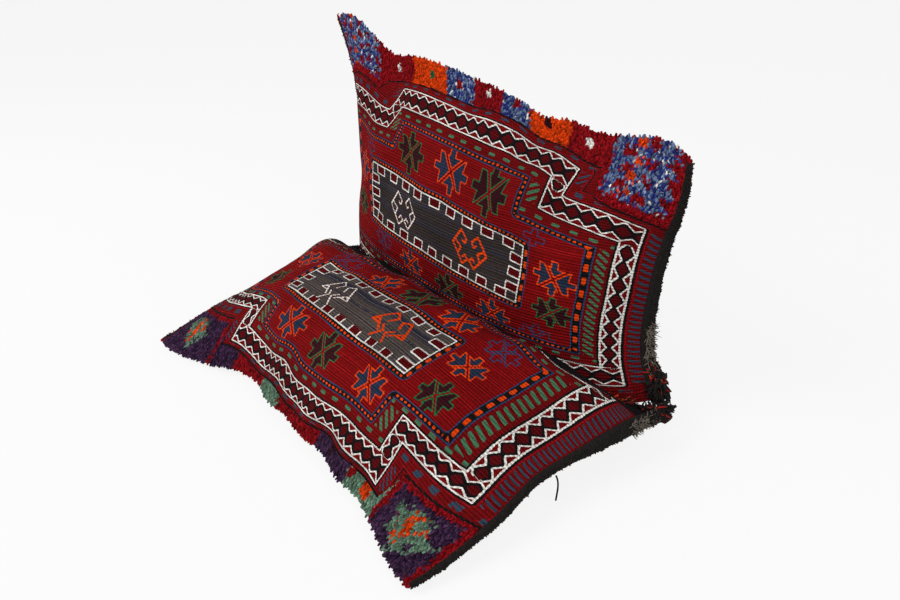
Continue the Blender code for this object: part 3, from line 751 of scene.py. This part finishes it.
# The woven face with every wrapped row as a strip of cells, and the striped plain panel behind it
def stuffedCover(name, pouch, design, lying, material):
    columns, rows, each = coverSet["columns"], coverSet["rows"], coverSet["rearEvery"]
    across = evenPlaces(pouch, lying, columns + 1)
    along = np.linspace(0.0, 1.0, rows + 1)
    face = pouchPoints(pouch, across, along, "face", lying)
    rear = pouchPoints(pouch, across[::each], along[::each], "rear", lying)
    U, W = clothPlace(design, (across[:-1] + across[1:]) / 2, (along[:-1] + along[1:]) / 2)
    figures = designFigures(U, W, design, lying)
    above = -figures["pileEdge"]
    pile = above > 0
    ink = groundInk(figures, lying)
    # Painted shade: the cells deep in the crease are painted black
    ink[figures["hidden"]] = woolIndex["black"]
    ink[(above > -3.5) & ~pile] = woolIndex["black"]
    ink = pileInk(ink, above, U, W, lying)
    colours = shadeOfInk(ink, pile)
    cornerU, cornerW = clothPlace(design, across, along)
    lines = designFigures(cornerU, cornerW, design, lying)
    # No strokes are drawn under the pile, nor on the painted crease shade
    underPile = (lines["pileEdge"] < 5) | lines["hidden"]
    # Relief: soft waves, and nothing at the border that both panels share
    normals = gridNormals(face)
    if normals[columns // 2, rows // 2] @ np.array([0, -0.3, 1.0] if lying else [0, -1.0, 0]) < 0:
        normals = -normals
    edge = np.minimum(smoothStep(1 - np.abs(across), 0.0, 0.10)[:, None],
                      smoothStep(np.minimum(along, 1 - along), 0.0, 0.06)[None, :])
    lift = waves(across, along, 3 if lying else 5, 0.0024) * edge
    wallFree = smoothStep(face[..., 2], 0.06, 0.16) if lying else smoothStep(face[..., 2], 0.15, 0.24)
    lift = lift * np.maximum(wallFree, smoothStep(along, 0.35, 0.5)[None, :])
    face = face + normals * lift[..., None]
    face[..., 2] = np.maximum(face[..., 2], 0.0008)
    faceIndex = np.arange(face.shape[0] * face.shape[1]).reshape(face.shape[:2])
    rearIndex = faceIndex[::each, ::each].copy()
    inner = rearIndex[1:-1, 1:-1]
    rearIndex[1:-1, 1:-1] = np.arange(inner.size).reshape(inner.shape) + faceIndex.size
    points = np.concatenate([face.reshape(-1, 3), rear[1:-1, 1:-1].reshape(-1, 3)]) + shift
    faces = gridFaces(faceIndex).tolist()
    faceCount = len(faces)
    # Cells of the rear panel; those at the border take in the face's finer points
    nu, nv = rearIndex.shape
    for i in range(nu - 1):
        for j in range(nv - 1):
            loop = [rearIndex[i, j]]
            if i == 0:
                loop += list(faceIndex[0, j * each + 1 : (j + 1) * each])
            loop.append(rearIndex[i, j + 1])
            if j == nv - 2:
                loop += list(faceIndex[i * each + 1 : (i + 1) * each, rows])
            loop.append(rearIndex[i + 1, j + 1])
            if i == nu - 2:
                loop += list(faceIndex[columns, j * each + 1 : (j + 1) * each][::-1])
            loop.append(rearIndex[i + 1, j])
            if j == 0:
                loop += list(faceIndex[i * each + 1 : (i + 1) * each, 0][::-1])
            faces.append([int(k) for k in loop])
    mesh = bpy.data.meshes.new(name)
    mesh.from_pydata(points.tolist(), [], faces)
    mesh.update()
    # Stripes of the rear and the underside, in short blocks that step aside every five cells
    names = ["dustyRed", "rawBlue", "borderRed", "rawBlue"]
    if lying:
        names = ["dustyRed", "borderRed", "green", "darkRed", "dustyRed", "maroon"]
    slanted = (np.arange(nv - 1)[None, :] + (np.arange(nu - 1) // 5)[:, None]) % len(names)
    rearInk = np.array([woolIndex[n] for n in names])[slanted].ravel()
    rearColours = woolLinear[rearInk] * (1 + luck.normal(0, 0.12, len(rearInk)))[:, None]
    addAttribute(mesh, "weave", "FLOAT_COLOR", "FACE",
                 np.clip(np.concatenate([colours.reshape(-1, 3), rearColours]), 0, 1))
    extra = np.full(inner.size, far)
    for setName, keys in strokeSets.items():
        values = [np.concatenate([np.where(underPile, far, lines[key]).ravel(), extra]) for key in keys]
        addAttribute(mesh, setName, "FLOAT_VECTOR", "POINT", np.clip(np.stack(values, axis=1), -far, far))
    # Places on the cloth: in metres for the ribs, and side by side in the map named OFBake
    runU = np.concatenate([[0], np.cumsum(np.linalg.norm(np.diff(face[:, rows // 2], axis=0), axis=1))])
    runV = np.concatenate([[0], np.cumsum(np.linalg.norm(np.diff(face[columns // 2], axis=0), axis=1))])
    shareU = np.concatenate([np.repeat(np.arange(columns + 1), rows + 1),
                             np.repeat(np.arange(columns + 1)[::each][1:-1], nv - 2)])
    shareV = np.concatenate([np.tile(np.arange(rows + 1), columns + 1),
                             np.tile(np.arange(rows + 1)[::each][1:-1], nu - 2)])
    corners = np.empty(len(mesh.loops), np.int32)
    mesh.loops.foreach_get("vertex_index", corners)
    onRear = np.repeat(np.arange(len(faces)) >= faceCount, [len(f) for f in faces])
    cu, cv = shareU[corners], shareV[corners]
    addMap(mesh, "cloth", np.stack([runU[cu], runV[cv]], axis=1))
    bake = np.stack([0.006 + 0.988 * cu / columns,
                     np.where(onRear, 0.006 + 0.310 * cv / rows, 0.336 + 0.658 * cv / rows)], axis=1)
    addMap(mesh, "OFBake", bake)
    obj = linkPiece(name, mesh, material)
    turned = turnOutwards(mesh)
    print(name, "cells", faceCount, "rear", len(rearInk), "turned", turned)
    return obj, {"points": face, "normals": normals, "ink": ink, "above": above}


# Weft-wrapped wool (sumak) over a red ground: ribs 4.3 mm apart with slanted wraps between. Matt, with a
# faint bloom of fibres; lines of single wraps are drawn over the cells from distances that the mesh carries
def woolMaterial():
    ribSpacing, wrapSpacing = 0.0043, 0.0034
    material, tree, shader = newMaterial("wool sumak", 0.9, 0.04)
    where = addNode(tree, "ShaderNodeTexCoord")
    fibres = addNode(tree, "ShaderNodeTexNoise", {"Scale": 900.0, "Detail": 2.0},
                     {"Vector": where.outputs["Object"]})
    wobble = addNode(tree, "ShaderNodeTexNoise", {"Scale": 330.0, "Detail": 1.0},
                     {"Vector": where.outputs["Object"]})
    wobble = addNode(tree, "ShaderNodeVectorMath",
                     {"operation": "MULTIPLY_ADD", 1: (1.7, 1.7, 1.7), 2: (-0.85, -0.85, -0.85)},
                     {0: wobble.outputs["Color"]})
    colour = addNode(tree, "ShaderNodeAttribute", {"attribute_name": "weave"}).outputs["Color"]
    distances = {}
    for setName, keys in strokeSets.items():
        read = addNode(tree, "ShaderNodeAttribute", {"attribute_name": setName})
        moved = addNode(tree, "ShaderNodeVectorMath", {"operation": "ADD"},
                        {0: read.outputs["Vector"], 1: wobble.outputs[0]})
        parts = addNode(tree, "ShaderNodeSeparateXYZ", {}, {0: moved.outputs[0]})
        distances.update(zip(keys, parts.outputs))
    # Each stroke: which distance, its middle and its half width in mm, and its wool
    strokes = [
        ("outerLine", 5.2, 0.7, "pileRed"), ("outerLine", 21.3, 0.8, "pileRed"),
        ("outerLine", 23.6, 0.9, "black"), ("slate", -30, 30.0, "slate"), ("green", -30, 30.0, "green"),
        ("star0", 0, 1.0, "orange"), ("star1", 0, 0.9, "deepGreen"), ("star2", 0, 0.9, "blue"),
        ("fieldLine", 0, 0.9, "blue"), ("fieldLine", -9.4, 0.9, "blue"), ("medallion", 10.8, 0.9, "blue"),
        ("medallion", 2.2, 1.5, "black"), ("dots", -30, 30.0, "orange"), ("blackZig", 0, 1.5, "black"),
        ("outerLine", 2.3, 1.4, "black"), ("innerLine", -2.3, 1.4, "black"), ("whiteZig", 0, 1.05, "white"),
        ("outerLine", 0, 1.05, "white"), ("innerLine", 0, 1.05, "white"), ("squares", 0, 1.15, "white"),
        ("medallion", 0, 1.15, "white"), ("whiteHook", 0, 2.5, "darkRed"), ("whiteHook", 0, 1.35, "white"),
        ("orangeHook", 0, 1.9, "orange"),
    ]
    for key, middle, half, wool in strokes:
        hit = addNode(tree, "ShaderNodeMath", {"operation": "COMPARE", 1: float(middle), 2: float(half)},
                      {0: distances[key]})
        ink = (*woolLinear[woolIndex[wool]], 1.0)
        mix = addNode(tree, "ShaderNodeMix", {"data_type": "RGBA", 7: ink}, {0: hit.outputs[0], 6: colour})
        colour = mix.outputs[2]
    place = addNode(tree, "ShaderNodeUVMap", {"uv_map": "cloth"})
    parts = addNode(tree, "ShaderNodeSeparateXYZ", {}, {0: place.outputs["UV"]})
    turn = addNode(tree, "ShaderNodeMath", {"operation": "MULTIPLY", 1: 2 * math.pi / ribSpacing},
                   {0: parts.outputs["Y"]})
    rib = addNode(tree, "ShaderNodeMath", {"operation": "SINE"}, {0: turn.outputs[0]})
    slant = addNode(tree, "ShaderNodeMath", {"operation": "MULTIPLY_ADD", 1: 0.6},
                    {0: parts.outputs["Y"], 2: parts.outputs["X"]})
    turn = addNode(tree, "ShaderNodeMath", {"operation": "MULTIPLY", 1: 2 * math.pi / wrapSpacing},
                   {0: slant.outputs[0]})
    wrap = addNode(tree, "ShaderNodeMath", {"operation": "SINE"}, {0: turn.outputs[0]})
    both = addNode(tree, "ShaderNodeMath", {"operation": "MULTIPLY_ADD", 1: 0.45},
                   {0: wrap.outputs[0], 2: rib.outputs[0]})
    height = addNode(tree, "ShaderNodeMath", {"operation": "MULTIPLY_ADD", 1: 0.9},
                     {0: fibres.outputs["Fac"], 2: both.outputs[0]})
    addBump(tree, shader, 0.8, 0.0007, height.outputs[0])
    # Dust and wear in large soft patches, painted shade in the grooves between the ribs, and uneven fibres
    patches = addNode(tree, "ShaderNodeTexNoise", {"Scale": 9.0, "Detail": 4.0},
                      {"Vector": where.outputs["Object"]})
    fade = addNode(tree, "ShaderNodeMapRange",
                   {"From Min": 0.35, "From Max": 0.75, "To Min": 0.84, "To Max": 1.14},
                   {"Value": patches.outputs["Fac"]})
    fine = addNode(tree, "ShaderNodeMapRange",
                   {"From Min": 0.25, "From Max": 0.75, "To Min": 0.74, "To Max": 1.24},
                   {"Value": fibres.outputs["Fac"]})
    # Painted shade: the colour darkens in the grooves between the ribs and the wraps
    grooveShade = addNode(tree, "ShaderNodeMapRange",
                      {"From Min": -1.0, "From Max": 0.6, "To Min": 0.62, "To Max": 1.05},
                      {"Value": both.outputs[0]})
    tone = addNode(tree, "ShaderNodeMath", {"operation": "MULTIPLY"},
                   {0: fade.outputs[0], 1: fine.outputs[0]})
    whole = addNode(tree, "ShaderNodeMath", {"operation": "MULTIPLY"},
                    {0: tone.outputs[0], 1: grooveShade.outputs[0]})
    tinted = addNode(tree, "ShaderNodeVectorMath", {"operation": "SCALE"},
                     {0: colour, "Scale": whole.outputs[0]})
    tree.links.new(tinted.outputs[0], shader.inputs["Base Color"])
    return material


sumakWool = woolMaterial()
seatCover, seatCloth = stuffedCover("seatCover", seatShape(), seatDesign, True, sumakWool)
backCover, backCloth = stuffedCover("backCover", backShape(), backDesign, False, sumakWool)
for piece, node in ((seatCover, "seat_pouch"), (backCover, "back_pouch")):
    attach(piece, "root")
    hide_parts(node)
print("covers made")


# Knotted pile: thick soft wool ends that lean towards the fold, each knot of one colour, with shaded roots
def pileMaterial():
    material, tree, shader = newMaterial("knotted wool pile", 0.92, 0.05)
    paint = addNode(tree, "ShaderNodeAttribute", {"attribute_name": "weave"})
    where = addNode(tree, "ShaderNodeTexCoord")
    fibres = addNode(tree, "ShaderNodeTexNoise", {"Scale": 1200.0, "Detail": 2.0},
                     {"Vector": where.outputs["Object"]})
    fine = addNode(tree, "ShaderNodeMapRange",
                   {"From Min": 0.25, "From Max": 0.75, "To Min": 0.72, "To Max": 1.25},
                   {"Value": fibres.outputs["Fac"]})
    tinted = addNode(tree, "ShaderNodeVectorMath", {"operation": "SCALE"},
                     {0: paint.outputs["Color"], "Scale": fine.outputs[0]})
    tree.links.new(tinted.outputs[0], shader.inputs["Base Color"])
    addBump(tree, shader, 0.7, 0.0006, fibres.outputs["Fac"])
    return material


pileSet = {"columns": 2, "rows": 1.6, "length": 0.0053, "radius": 0.0018, "sides": 4}


# Short tapered tubes, each bent over; roots, directions and sizes are arrays with one row for each tube
def bentTufts(name, roots, upwards, ahead, lengths, radii, colours, material, rings=3, tip=0.6):
    sides = pileSet["sides"]
    count = len(roots)
    beside = np.cross(upwards, ahead)
    beside = unit(beside)
    points, shade = [], []
    for k in range(rings + 1):
        t = k / rings
        risen = (lengths * (0.55 * t - 0.24 * t * t))[:, None]
        gone = (lengths * (0.40 * t + 0.60 * t * t))[:, None]
        centre = roots + upwards * risen + ahead * gone
        heading = upwards * (0.55 - 0.48 * t) + ahead * (0.40 + 1.20 * t)
        heading = unit(heading)
        over = np.cross(heading, beside)
        size = radii * ((0.85, 1.05, 1.0, 0.9)[min(k, 3)] if k < rings else tip)
        for s in range(sides):
            turn = 2 * math.pi * (s + 0.5) / sides
            points.append(centre + beside * (math.cos(turn) * size)[:, None] + over
                          * (math.sin(turn) * size)[:, None])
    points = np.stack(points, axis=1)
    base = np.arange(count)[:, None] * ((rings + 1) * sides)
    quads, places = [], []
    for k in range(rings):
        for s in range(sides):
            n = (s + 1) % sides
            quads.append(base + np.array([k * sides + s, k * sides + n, (k + 1) * sides + n,
                                          (k + 1) * sides + s]))
            places.append([(s, k), (s + 1, k), (s + 1, k + 1), (s, k + 1)])
            # Painted shade: each ring darker towards the root, where the tufts shade each other; the cap at
            # the tip is lightest
            shade.append(0.16 + 0.54 * (k + 1) / rings)
    quads.append(base + np.array([rings * sides + s for s in range(sides)]))
    places.append([(0, rings + 0.1), (1, rings + 0.1), (1, rings + 0.9), (0, rings + 0.9)])
    shade.append(0.72)
    each = len(quads)
    quads = np.stack(quads, axis=1).reshape(-1, 4)
    mesh = bpy.data.meshes.new(name)
    mesh.from_pydata((points.reshape(-1, 3) + shift).tolist(), [], quads.tolist())
    mesh.update()
    paint = np.repeat(colours, each, axis=0) * np.tile(shade, count)[:, None]
    addAttribute(mesh, "weave", "FLOAT_COLOR", "FACE", np.clip(paint, 0, 1))
    cells = int(math.ceil(math.sqrt(count)))
    box = np.stack([np.arange(count) % cells, np.arange(count) // cells], axis=1)
    local = np.array(places, float) / np.array([sides, rings + 1]) * 0.9 + 0.05
    uv = (box[:, None, None, :] + local[None]) / cells
    addMap(mesh, "OFBake", uv)
    obj = linkPiece(name, mesh, material)
    turnOutwards(mesh)
    keepAboveFloor(mesh)
    print(name, "tufts", count)
    return obj


def knottedPile(name, cloth, lying, material):
    points, normals, ink, above = cloth["points"], cloth["normals"], cloth["ink"], cloth["above"]
    s = pileSet
    columns, rows = ink.shape
    i, j = np.meshgrid(np.arange(0, columns, s["columns"]), np.arange(0, rows, s["rows"]), indexing="ij")
    i = np.clip(i + luck.uniform(-0.6, 0.6, i.shape), 0, columns - 1.01)
    j = np.clip(j + luck.uniform(-0.6, 0.6, j.shape), 0, rows - 0.05)
    ci, cj = i.astype(int), np.minimum(j.astype(int), rows - 1)
    keep = (above[ci, cj] > 0).ravel()
    i, j, ci, cj = (grid.ravel()[keep] for grid in (i, j, ci, cj))
    fu, fv = (i - ci)[:, None], (j - cj)[:, None]
    roots = (points[ci, cj] * (1 - fu) * (1 - fv) + points[ci + 1, cj] * fu * (1 - fv)
             + points[ci, cj + 1] * (1 - fu) * fv + points[ci + 1, cj + 1] * fu * fv)
    up = normals[ci, cj]
    ahead = points[ci, np.minimum(cj + 1, rows)] - points[ci, cj]
    ahead = unit(ahead)
    ahead = ahead + luck.normal(0, 0.35, ahead.shape) + np.array([0, 0, -0.15])
    ahead -= up * np.einsum("ij,ij->i", ahead, up)[:, None]
    ahead = unit(ahead)
    up = up + luck.normal(0, 0.15, up.shape)
    up = unit(up)
    count = len(roots)
    colours = woolLinear[ink[ci, cj]] * np.clip(1 + luck.normal(0, 0.32, count), 0.35, 1.9)[:, None]
    roots = roots - up * 0.0012
    obj = bentTufts(name, roots, up, ahead, s["length"] * luck.uniform(0.7, 1.25, count),
                    s["radius"] * luck.uniform(0.8, 1.2, count),
                    colours, material)
    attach(obj, "root")
    return obj


pileWool = pileMaterial()
knottedPile("seatPile", seatCloth, True, pileWool)
knottedPile("backPile", backCloth, False, pileWool)
print("pile made")


# Spun wool or hair of one colour, with uneven fibres
def plainMaterial(name, hexText, roughness, noiseScale, contrast, bumpDepth):
    material, tree, shader = newMaterial(name, roughness, 0.15)
    where = addNode(tree, "ShaderNodeTexCoord")
    fibres = addNode(tree, "ShaderNodeTexNoise", {"Scale": noiseScale, "Detail": 3.0},
                     {"Vector": where.outputs["Object"]})
    ramp = addNode(tree, "ShaderNodeValToRGB", {}, {"Fac": fibres.outputs["Fac"]})
    base = linearColour(hexText)
    ramp.color_ramp.elements[0].position = 0.3
    ramp.color_ramp.elements[0].color = (*[c * (1 - contrast) for c in base], 1)
    ramp.color_ramp.elements[1].position = 0.72
    ramp.color_ramp.elements[1].color = (*[min(1, c * (1 + contrast)) for c in base], 1)
    tree.links.new(ramp.outputs["Color"], shader.inputs["Base Color"])
    addBump(tree, shader, 0.8, bumpDepth, fibres.outputs["Fac"])
    return material


# Goat hair, spun and wound as overcasting: black with a brown cast, matt, with coarse fibres
goatHair = plainMaterial("black goat hair", "191514", 0.85, 420.0, 0.55, 0.0012)
# Worn and dusty goat hair: grey ends where the overcasting has frayed
greyHair = plainMaterial("frayed grey goat hair", "6E665C", 0.9, 300.0, 0.45, 0.0008)
# Plain woven wool of the bridge: dark red brown, nearly black in the crease
bridgeWool = plainMaterial("dark plain wool", "2A1715", 0.95, 260.0, 0.6, 0.001)
# Tightly spun goat hair of the loose thread: darker than the overcasting, with a finer grain
yarnDark = plainMaterial("spun goat hair yarn", "15110F", 0.85, 900.0, 0.4, 0.0004)
# Red weft ends that have worked loose by the mouth: matt and fine
fringeRed = plainMaterial("frayed red wool", "A02018", 0.92, 500.0, 0.4, 0.0005)
# Orange weft ends beside the red ones, a little more even in colour
fringeOrange = plainMaterial("frayed orange wool", "D8480F", 0.92, 500.0, 0.3, 0.0005)


# A closed sheet between an inner and an outer grid
def meshFromGrid(name, grids, material):
    outer, inner = grids
    count = outer.shape[0] * outer.shape[1]
    first = np.arange(count).reshape(outer.shape[:2])
    faces = gridFaces(first).tolist() + gridFaces(first + count, True).tolist()
    rim = np.concatenate([first[:, 0], first[-1, 1:], first[-2::-1, -1], first[0, -2:0:-1]])
    after = np.roll(rim, -1)
    faces += np.stack([after, rim, rim + count, after + count], axis=1).tolist()
    mesh = bpy.data.meshes.new(name)
    mesh.from_pydata(np.concatenate([outer.reshape(-1, 3), inner.reshape(-1, 3)]).tolist(), [], faces)
    mesh.update()
    recalcNormals(mesh)
    return linkPiece(name, mesh, material)


# Overcasting: goat hair yarn wound round each side seam, one turn beside the other
overcastSet = {"steps": 20, "faceShare": 0.016, "rearShare": 0.004, "thick": 0.0028, "turnSpacing": 0.0034}


def overcastSeam(name, pouch, lying, end, node):
    s = overcastSet
    rows = 300
    along = np.linspace(0.012, 0.992, rows)
    halfSteps = s["steps"] // 2
    edge = np.linspace(0.0, 1.0, halfSteps + 1) ** 1.6
    wobble = 1.0 + 0.12 * np.sin(along * 37) + 0.08 * np.sin(along * 91 + 1)
    facePlaces = 1.0 - s["faceShare"] * edge[::-1]
    rearPlaces = 1.0 - s["rearShare"] * edge[1:]
    face = pouchPoints(pouch, facePlaces * end, along, "face", lying)
    rear = pouchPoints(pouch, rearPlaces * end, along, "rear", lying)
    strip = np.concatenate([face, rear])
    normals = gridNormals(strip)
    core = strip[len(strip) // 2]
    outward = np.zeros(3)
    outward[0] = end
    if (normals[len(strip) // 2, rows // 2] @ outward) < 0:
        normals = -normals
    for k in range(3):
        normals[1:-1] = normals[1:-1] + normals[:-2] + normals[2:]
        normals = unit(normals)
    across = np.linspace(-1, 1, strip.shape[0])
    profile = np.clip(1 - np.abs(across) ** 4, 0, 1) ** 0.5
    length = np.concatenate([[0], np.cumsum(np.linalg.norm(np.diff(core, axis=0), axis=1))])
    slantedTurn = length[None, :] + across[:, None] * 0.0022
    turnWave = np.abs(np.sin(math.pi * slantedTurn / s["turnSpacing"]))
    grain = luck.normal(0, 0.00035, turnWave.shape)
    thick = s["thick"] * (0.55 + 0.45 * turnWave) * profile[:, None] * wobble[None, :]
    thick = thick + grain * profile[:, None]
    outer = strip + normals * (0.0004 + thick)[..., None]
    inner = strip - normals * 0.0002
    outer[..., 2] = np.maximum(outer[..., 2], 0.0006)
    inner[..., 2] = np.maximum(inner[..., 2], 0.0004)
    piece = meshFromGrid(name, (outer + shift, inner + shift), goatHair)
    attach(piece, "root")
    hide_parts(node)
    return outer


seamLines = {}
for word, end in (("Left", -1), ("Right", 1)):
    seamLines["seat" + word] = overcastSeam("seatOvercast" + word, seatShape(), True, end,
                                            "seat_overcast_" + word.lower())
    seamLines["back" + word] = overcastSeam("backOvercast" + word, backShape(), False, end,
                                            "back_overcast_" + word.lower())
print("overcasting made")


# Frayed yarn: loose ends standing off a stretch of a seam, thin and long, each with its own lean
def frayedTufts(name, line, start, end, count, length, radius, material, lean=(0, 0, 0)):
    at = (luck.uniform(start, end, count) * (line.shape[1] - 1)).astype(int)
    row = luck.randint(4, line.shape[0] - 4, count)
    normals = gridNormals(line)
    outward = line - line.mean(axis=0, keepdims=True)
    if (normals * outward).sum() < 0:
        normals = -normals
    roots = line[row, at]
    up = normals[row, at] + luck.normal(0, 0.35, (count, 3))
    up = unit(up)
    ahead = luck.normal(0, 1, (count, 3)) + np.array(lean)
    ahead -= up * np.einsum("ij,ij->i", ahead, up)[:, None]
    ahead = unit(ahead)
    shade = np.ones((count, 3)) * luck.uniform(0.4, 1.5, count)[:, None]
    obj = bentTufts(name, roots - up * 0.001, up, ahead, length * luck.uniform(0.5, 1.3, count),
                    radius * luck.uniform(0.7, 1.3, count),
                    shade * 0.6, material, rings=3, tip=0.4)
    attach(obj, "root")


mouthLine = pouchPoints(seatShape(), np.linspace(0.78, 1.0, 60), np.linspace(0.0, 0.10, 12), "face", True)
mouthLine = mouthLine.transpose(1, 0, 2)
backRight, seatRight = seamLines["backRight"], seamLines["seatRight"]
# Each: name, line, stretch of it, count, length, radius, material and lean
for tuft in (
    ("greyTuftBack", backRight, 0.08, 0.27, 420, 0.0075, 0.0006, greyHair, (0.2, 0, -1.0)),
    ("greyTuftSeat", seatRight, 0.08, 0.22, 420, 0.0075, 0.0006, greyHair, (0.6, -0.4, 0.2)),
    ("knotSeat", seatRight, 0.0, 0.12, 420, 0.0075, 0.0020, goatHair, (0.8, 0.4, 0)),
    ("knotBack", backRight, 0.0, 0.10, 320, 0.0075, 0.0020, goatHair, (0.8, -0.2, -0.4)),
    ("gapHair", backRight, 0.0, 0.055, 520, 0.0145, 0.0022, goatHair, (-1.4, -1.3, -2.6)),
    ("redEnds", backRight, 0.0, 0.10, 110, 0.010, 0.0009, fringeRed, (-0.6, -1.0, -0.4)),
    ("orangeEnds", backRight, 0.0, 0.06, 60, 0.010, 0.0009, fringeOrange, (-0.8, -1.0, -0.4)),
    ("mouthHair", mouthLine, 0.1, 1.0, 420, 0.011, 0.0016, goatHair, (0.2, -0.3, 1.0)),
    ("mouthRed", mouthLine, 0.0, 1.0, 110, 0.014, 0.0010, fringeRed, (0.9, 0.2, 0.3)),
    ("mouthOrange", mouthLine, 0.0, 0.7, 50, 0.014, 0.0010, fringeOrange, (0.9, 0.2, 0.3)),
):
    frayedTufts(*tuft)
for word in ("Left", "Right"):
    for pouchWord in ("seat", "back"):
        frayedTufts("hair" + pouchWord.capitalize() + word, seamLines[pouchWord + word], 0.0, 1.0, 1100,
                    0.0024, 0.0008, goatHair)
print("frayed ends made")

# The strip between the pouches, bunched in the notch under the crease
bridgeSet = {"halfLength": 0.346, "apex": 0.036, "halfWidth": 0.0345}


def bridgeStrip():
    s = bridgeSet
    stations = np.linspace(-1.0, 1.0, 241)
    x = s["halfLength"] * (0.7 * stations + 0.3 * np.sin(stations * math.pi / 2))
    turn = np.linspace(0.0, 2 * math.pi, 40, endpoint=False)
    grid = []
    for place, across in zip(stations, x):
        endShare = smoothStep(abs(place), 0.80, 1.0)
        half = s["halfWidth"] * (1.0 - 0.62 * endShare)
        top = s["apex"] + 0.003 * math.sin(9.0 * place) * (1.0 - endShare)
        low = 0.010 * endShare
        lift = (0.5 + 0.5 * np.sin(turn)) ** 1.4
        side = np.cos(turn) * half * (1.0 - 0.85 * smoothStep(lift, 0.04, 0.62))
        crease = 1.0 - 0.05 * np.abs(np.sin(turn * 3 + place * 23))
        forward = wallLine(across) + side * crease
        grid.append(np.stack([np.full(40, across), -forward, low + (top - low) * lift * crease], axis=1))
    grid = np.array(grid)
    grid[..., 2] = np.maximum(grid[..., 2], 0.0005)
    count = grid.shape[0] * 40
    first = np.arange(count).reshape(-1, 40)
    closed = np.concatenate([first, first[:, :1]], axis=1)
    faces = gridFaces(closed).tolist() + [first[0].tolist(), first[-1][::-1].tolist()]
    mesh = bpy.data.meshes.new("bridgeStrip")
    mesh.from_pydata((grid.reshape(-1, 3) + shift).tolist(), [], faces)
    recalcNormals(mesh)
    obj = linkPiece("bridgeStrip", mesh, bridgeWool)
    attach(obj, "root")
    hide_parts("bridge_cloth")


bridgeStrip()
print("bridge made")

# Loose yarn end at the seat's right seam
threadSet = {"radius": 0.0011, "drop": 0.036}


def looseThread():
    s = threadSet
    low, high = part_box("loose_thread")
    exitPoint = np.array([low[0] + s["radius"] + 0.0003, (low[1] + high[1]) / 2 - 0.001, high[2]])
    route = [exitPoint, exitPoint + np.array([0.002, 0.001, -s["drop"] * 0.18]),
             exitPoint + np.array([0.0015, 0.003, -s["drop"] * 0.55]),
             exitPoint + np.array([0.003, -0.001, -s["drop"]])]
    points = curveThrough(route, np.linspace(0.0, 1.0, 13))
    curve = bpy.data.curves.new("looseYarn", "CURVE")
    curve.dimensions = "3D"
    curve.bevel_depth = s["radius"]
    curve.bevel_resolution = 2
    curve.use_fill_caps = True
    spline = curve.splines.new("POLY")
    spline.points.add(len(points) - 1)
    for point, place in zip(spline.points, points):
        point.co = (*place, 1.0)
    obj = linkPiece("looseYarn", curve, yarnDark)
    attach(obj, "root")
    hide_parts("loose_thread")


looseThread()
print("yarn made")


def studio():
    bpy.ops.object.select_all(action="DESELECT")
    bpy.ops.mesh.primitive_plane_add(size=80.0, location=(0, 0, 0))
    floor = bpy.context.object
    floor.name = "studioFloor"
    material, tree, shader = newMaterial("pale studio floor", 0.9, 0.5)
    shader.inputs["Base Color"].default_value = (0.82, 0.82, 0.82, 1)
    glow = addNode(tree, "ShaderNodeEmission", {"Color": (1, 1, 1, 1), "Strength": 1.0})
    path = addNode(tree, "ShaderNodeLightPath")
    share = addNode(tree, "ShaderNodeMath", {"operation": "MULTIPLY", 1: 0.86},
                    {0: path.outputs["Is Camera Ray"]})
    mixed = addNode(tree, "ShaderNodeMixShader", {},
                    {0: share.outputs[0], 1: shader.outputs["BSDF"], 2: glow.outputs["Emission"]})
    tree.links.new(mixed.outputs[0], tree.nodes["Material Output"].inputs["Surface"])
    floor.data.materials.append(material)
    world = bpy.data.worlds.new("studioWorld")
    bpy.context.scene.world = world
    world.use_nodes = True
    tree = world.node_tree
    back = tree.nodes["Background"]
    back.inputs["Color"].default_value = (1, 1, 1, 1)
    path = addNode(tree, "ShaderNodeLightPath")
    seen = addNode(tree, "ShaderNodeMath", {"operation": "MAXIMUM"},
                   {0: path.outputs["Is Camera Ray"], 1: path.outputs["Is Glossy Ray"]})
    seenAll = addNode(tree, "ShaderNodeMath", {"operation": "MAXIMUM"},
                      {0: seen.outputs[0], 1: path.outputs["Is Transmission Ray"]})
    strength = addNode(tree, "ShaderNodeMapRange", {"To Min": 0.42, "To Max": 1.0},
                       {"Value": seenAll.outputs[0]})
    tree.links.new(strength.outputs[0], back.inputs["Strength"])
    for name, place, aim, size, power in (
        ("keyLight", (-0.9, -2.2, 2.3), (0, 0, 0.15), 1.6, 62),
        ("fillLight", (2.4, -0.6, 1.3), (0, 0, 0.15), 1.6, 20)):
        data = bpy.data.lights.new(name, "AREA")
        data.energy = power
        data.size = size
        lamp = bpy.data.objects.new(name, data)
        bpy.context.scene.collection.objects.link(lamp)
        lamp.location = place
        lamp.rotation_euler = (Vector(aim) - Vector(place)).to_track_quat("-Z", "Y").to_euler()
    bpy.context.scene.view_settings.view_transform = "Standard"


studio()
print("studio lit")
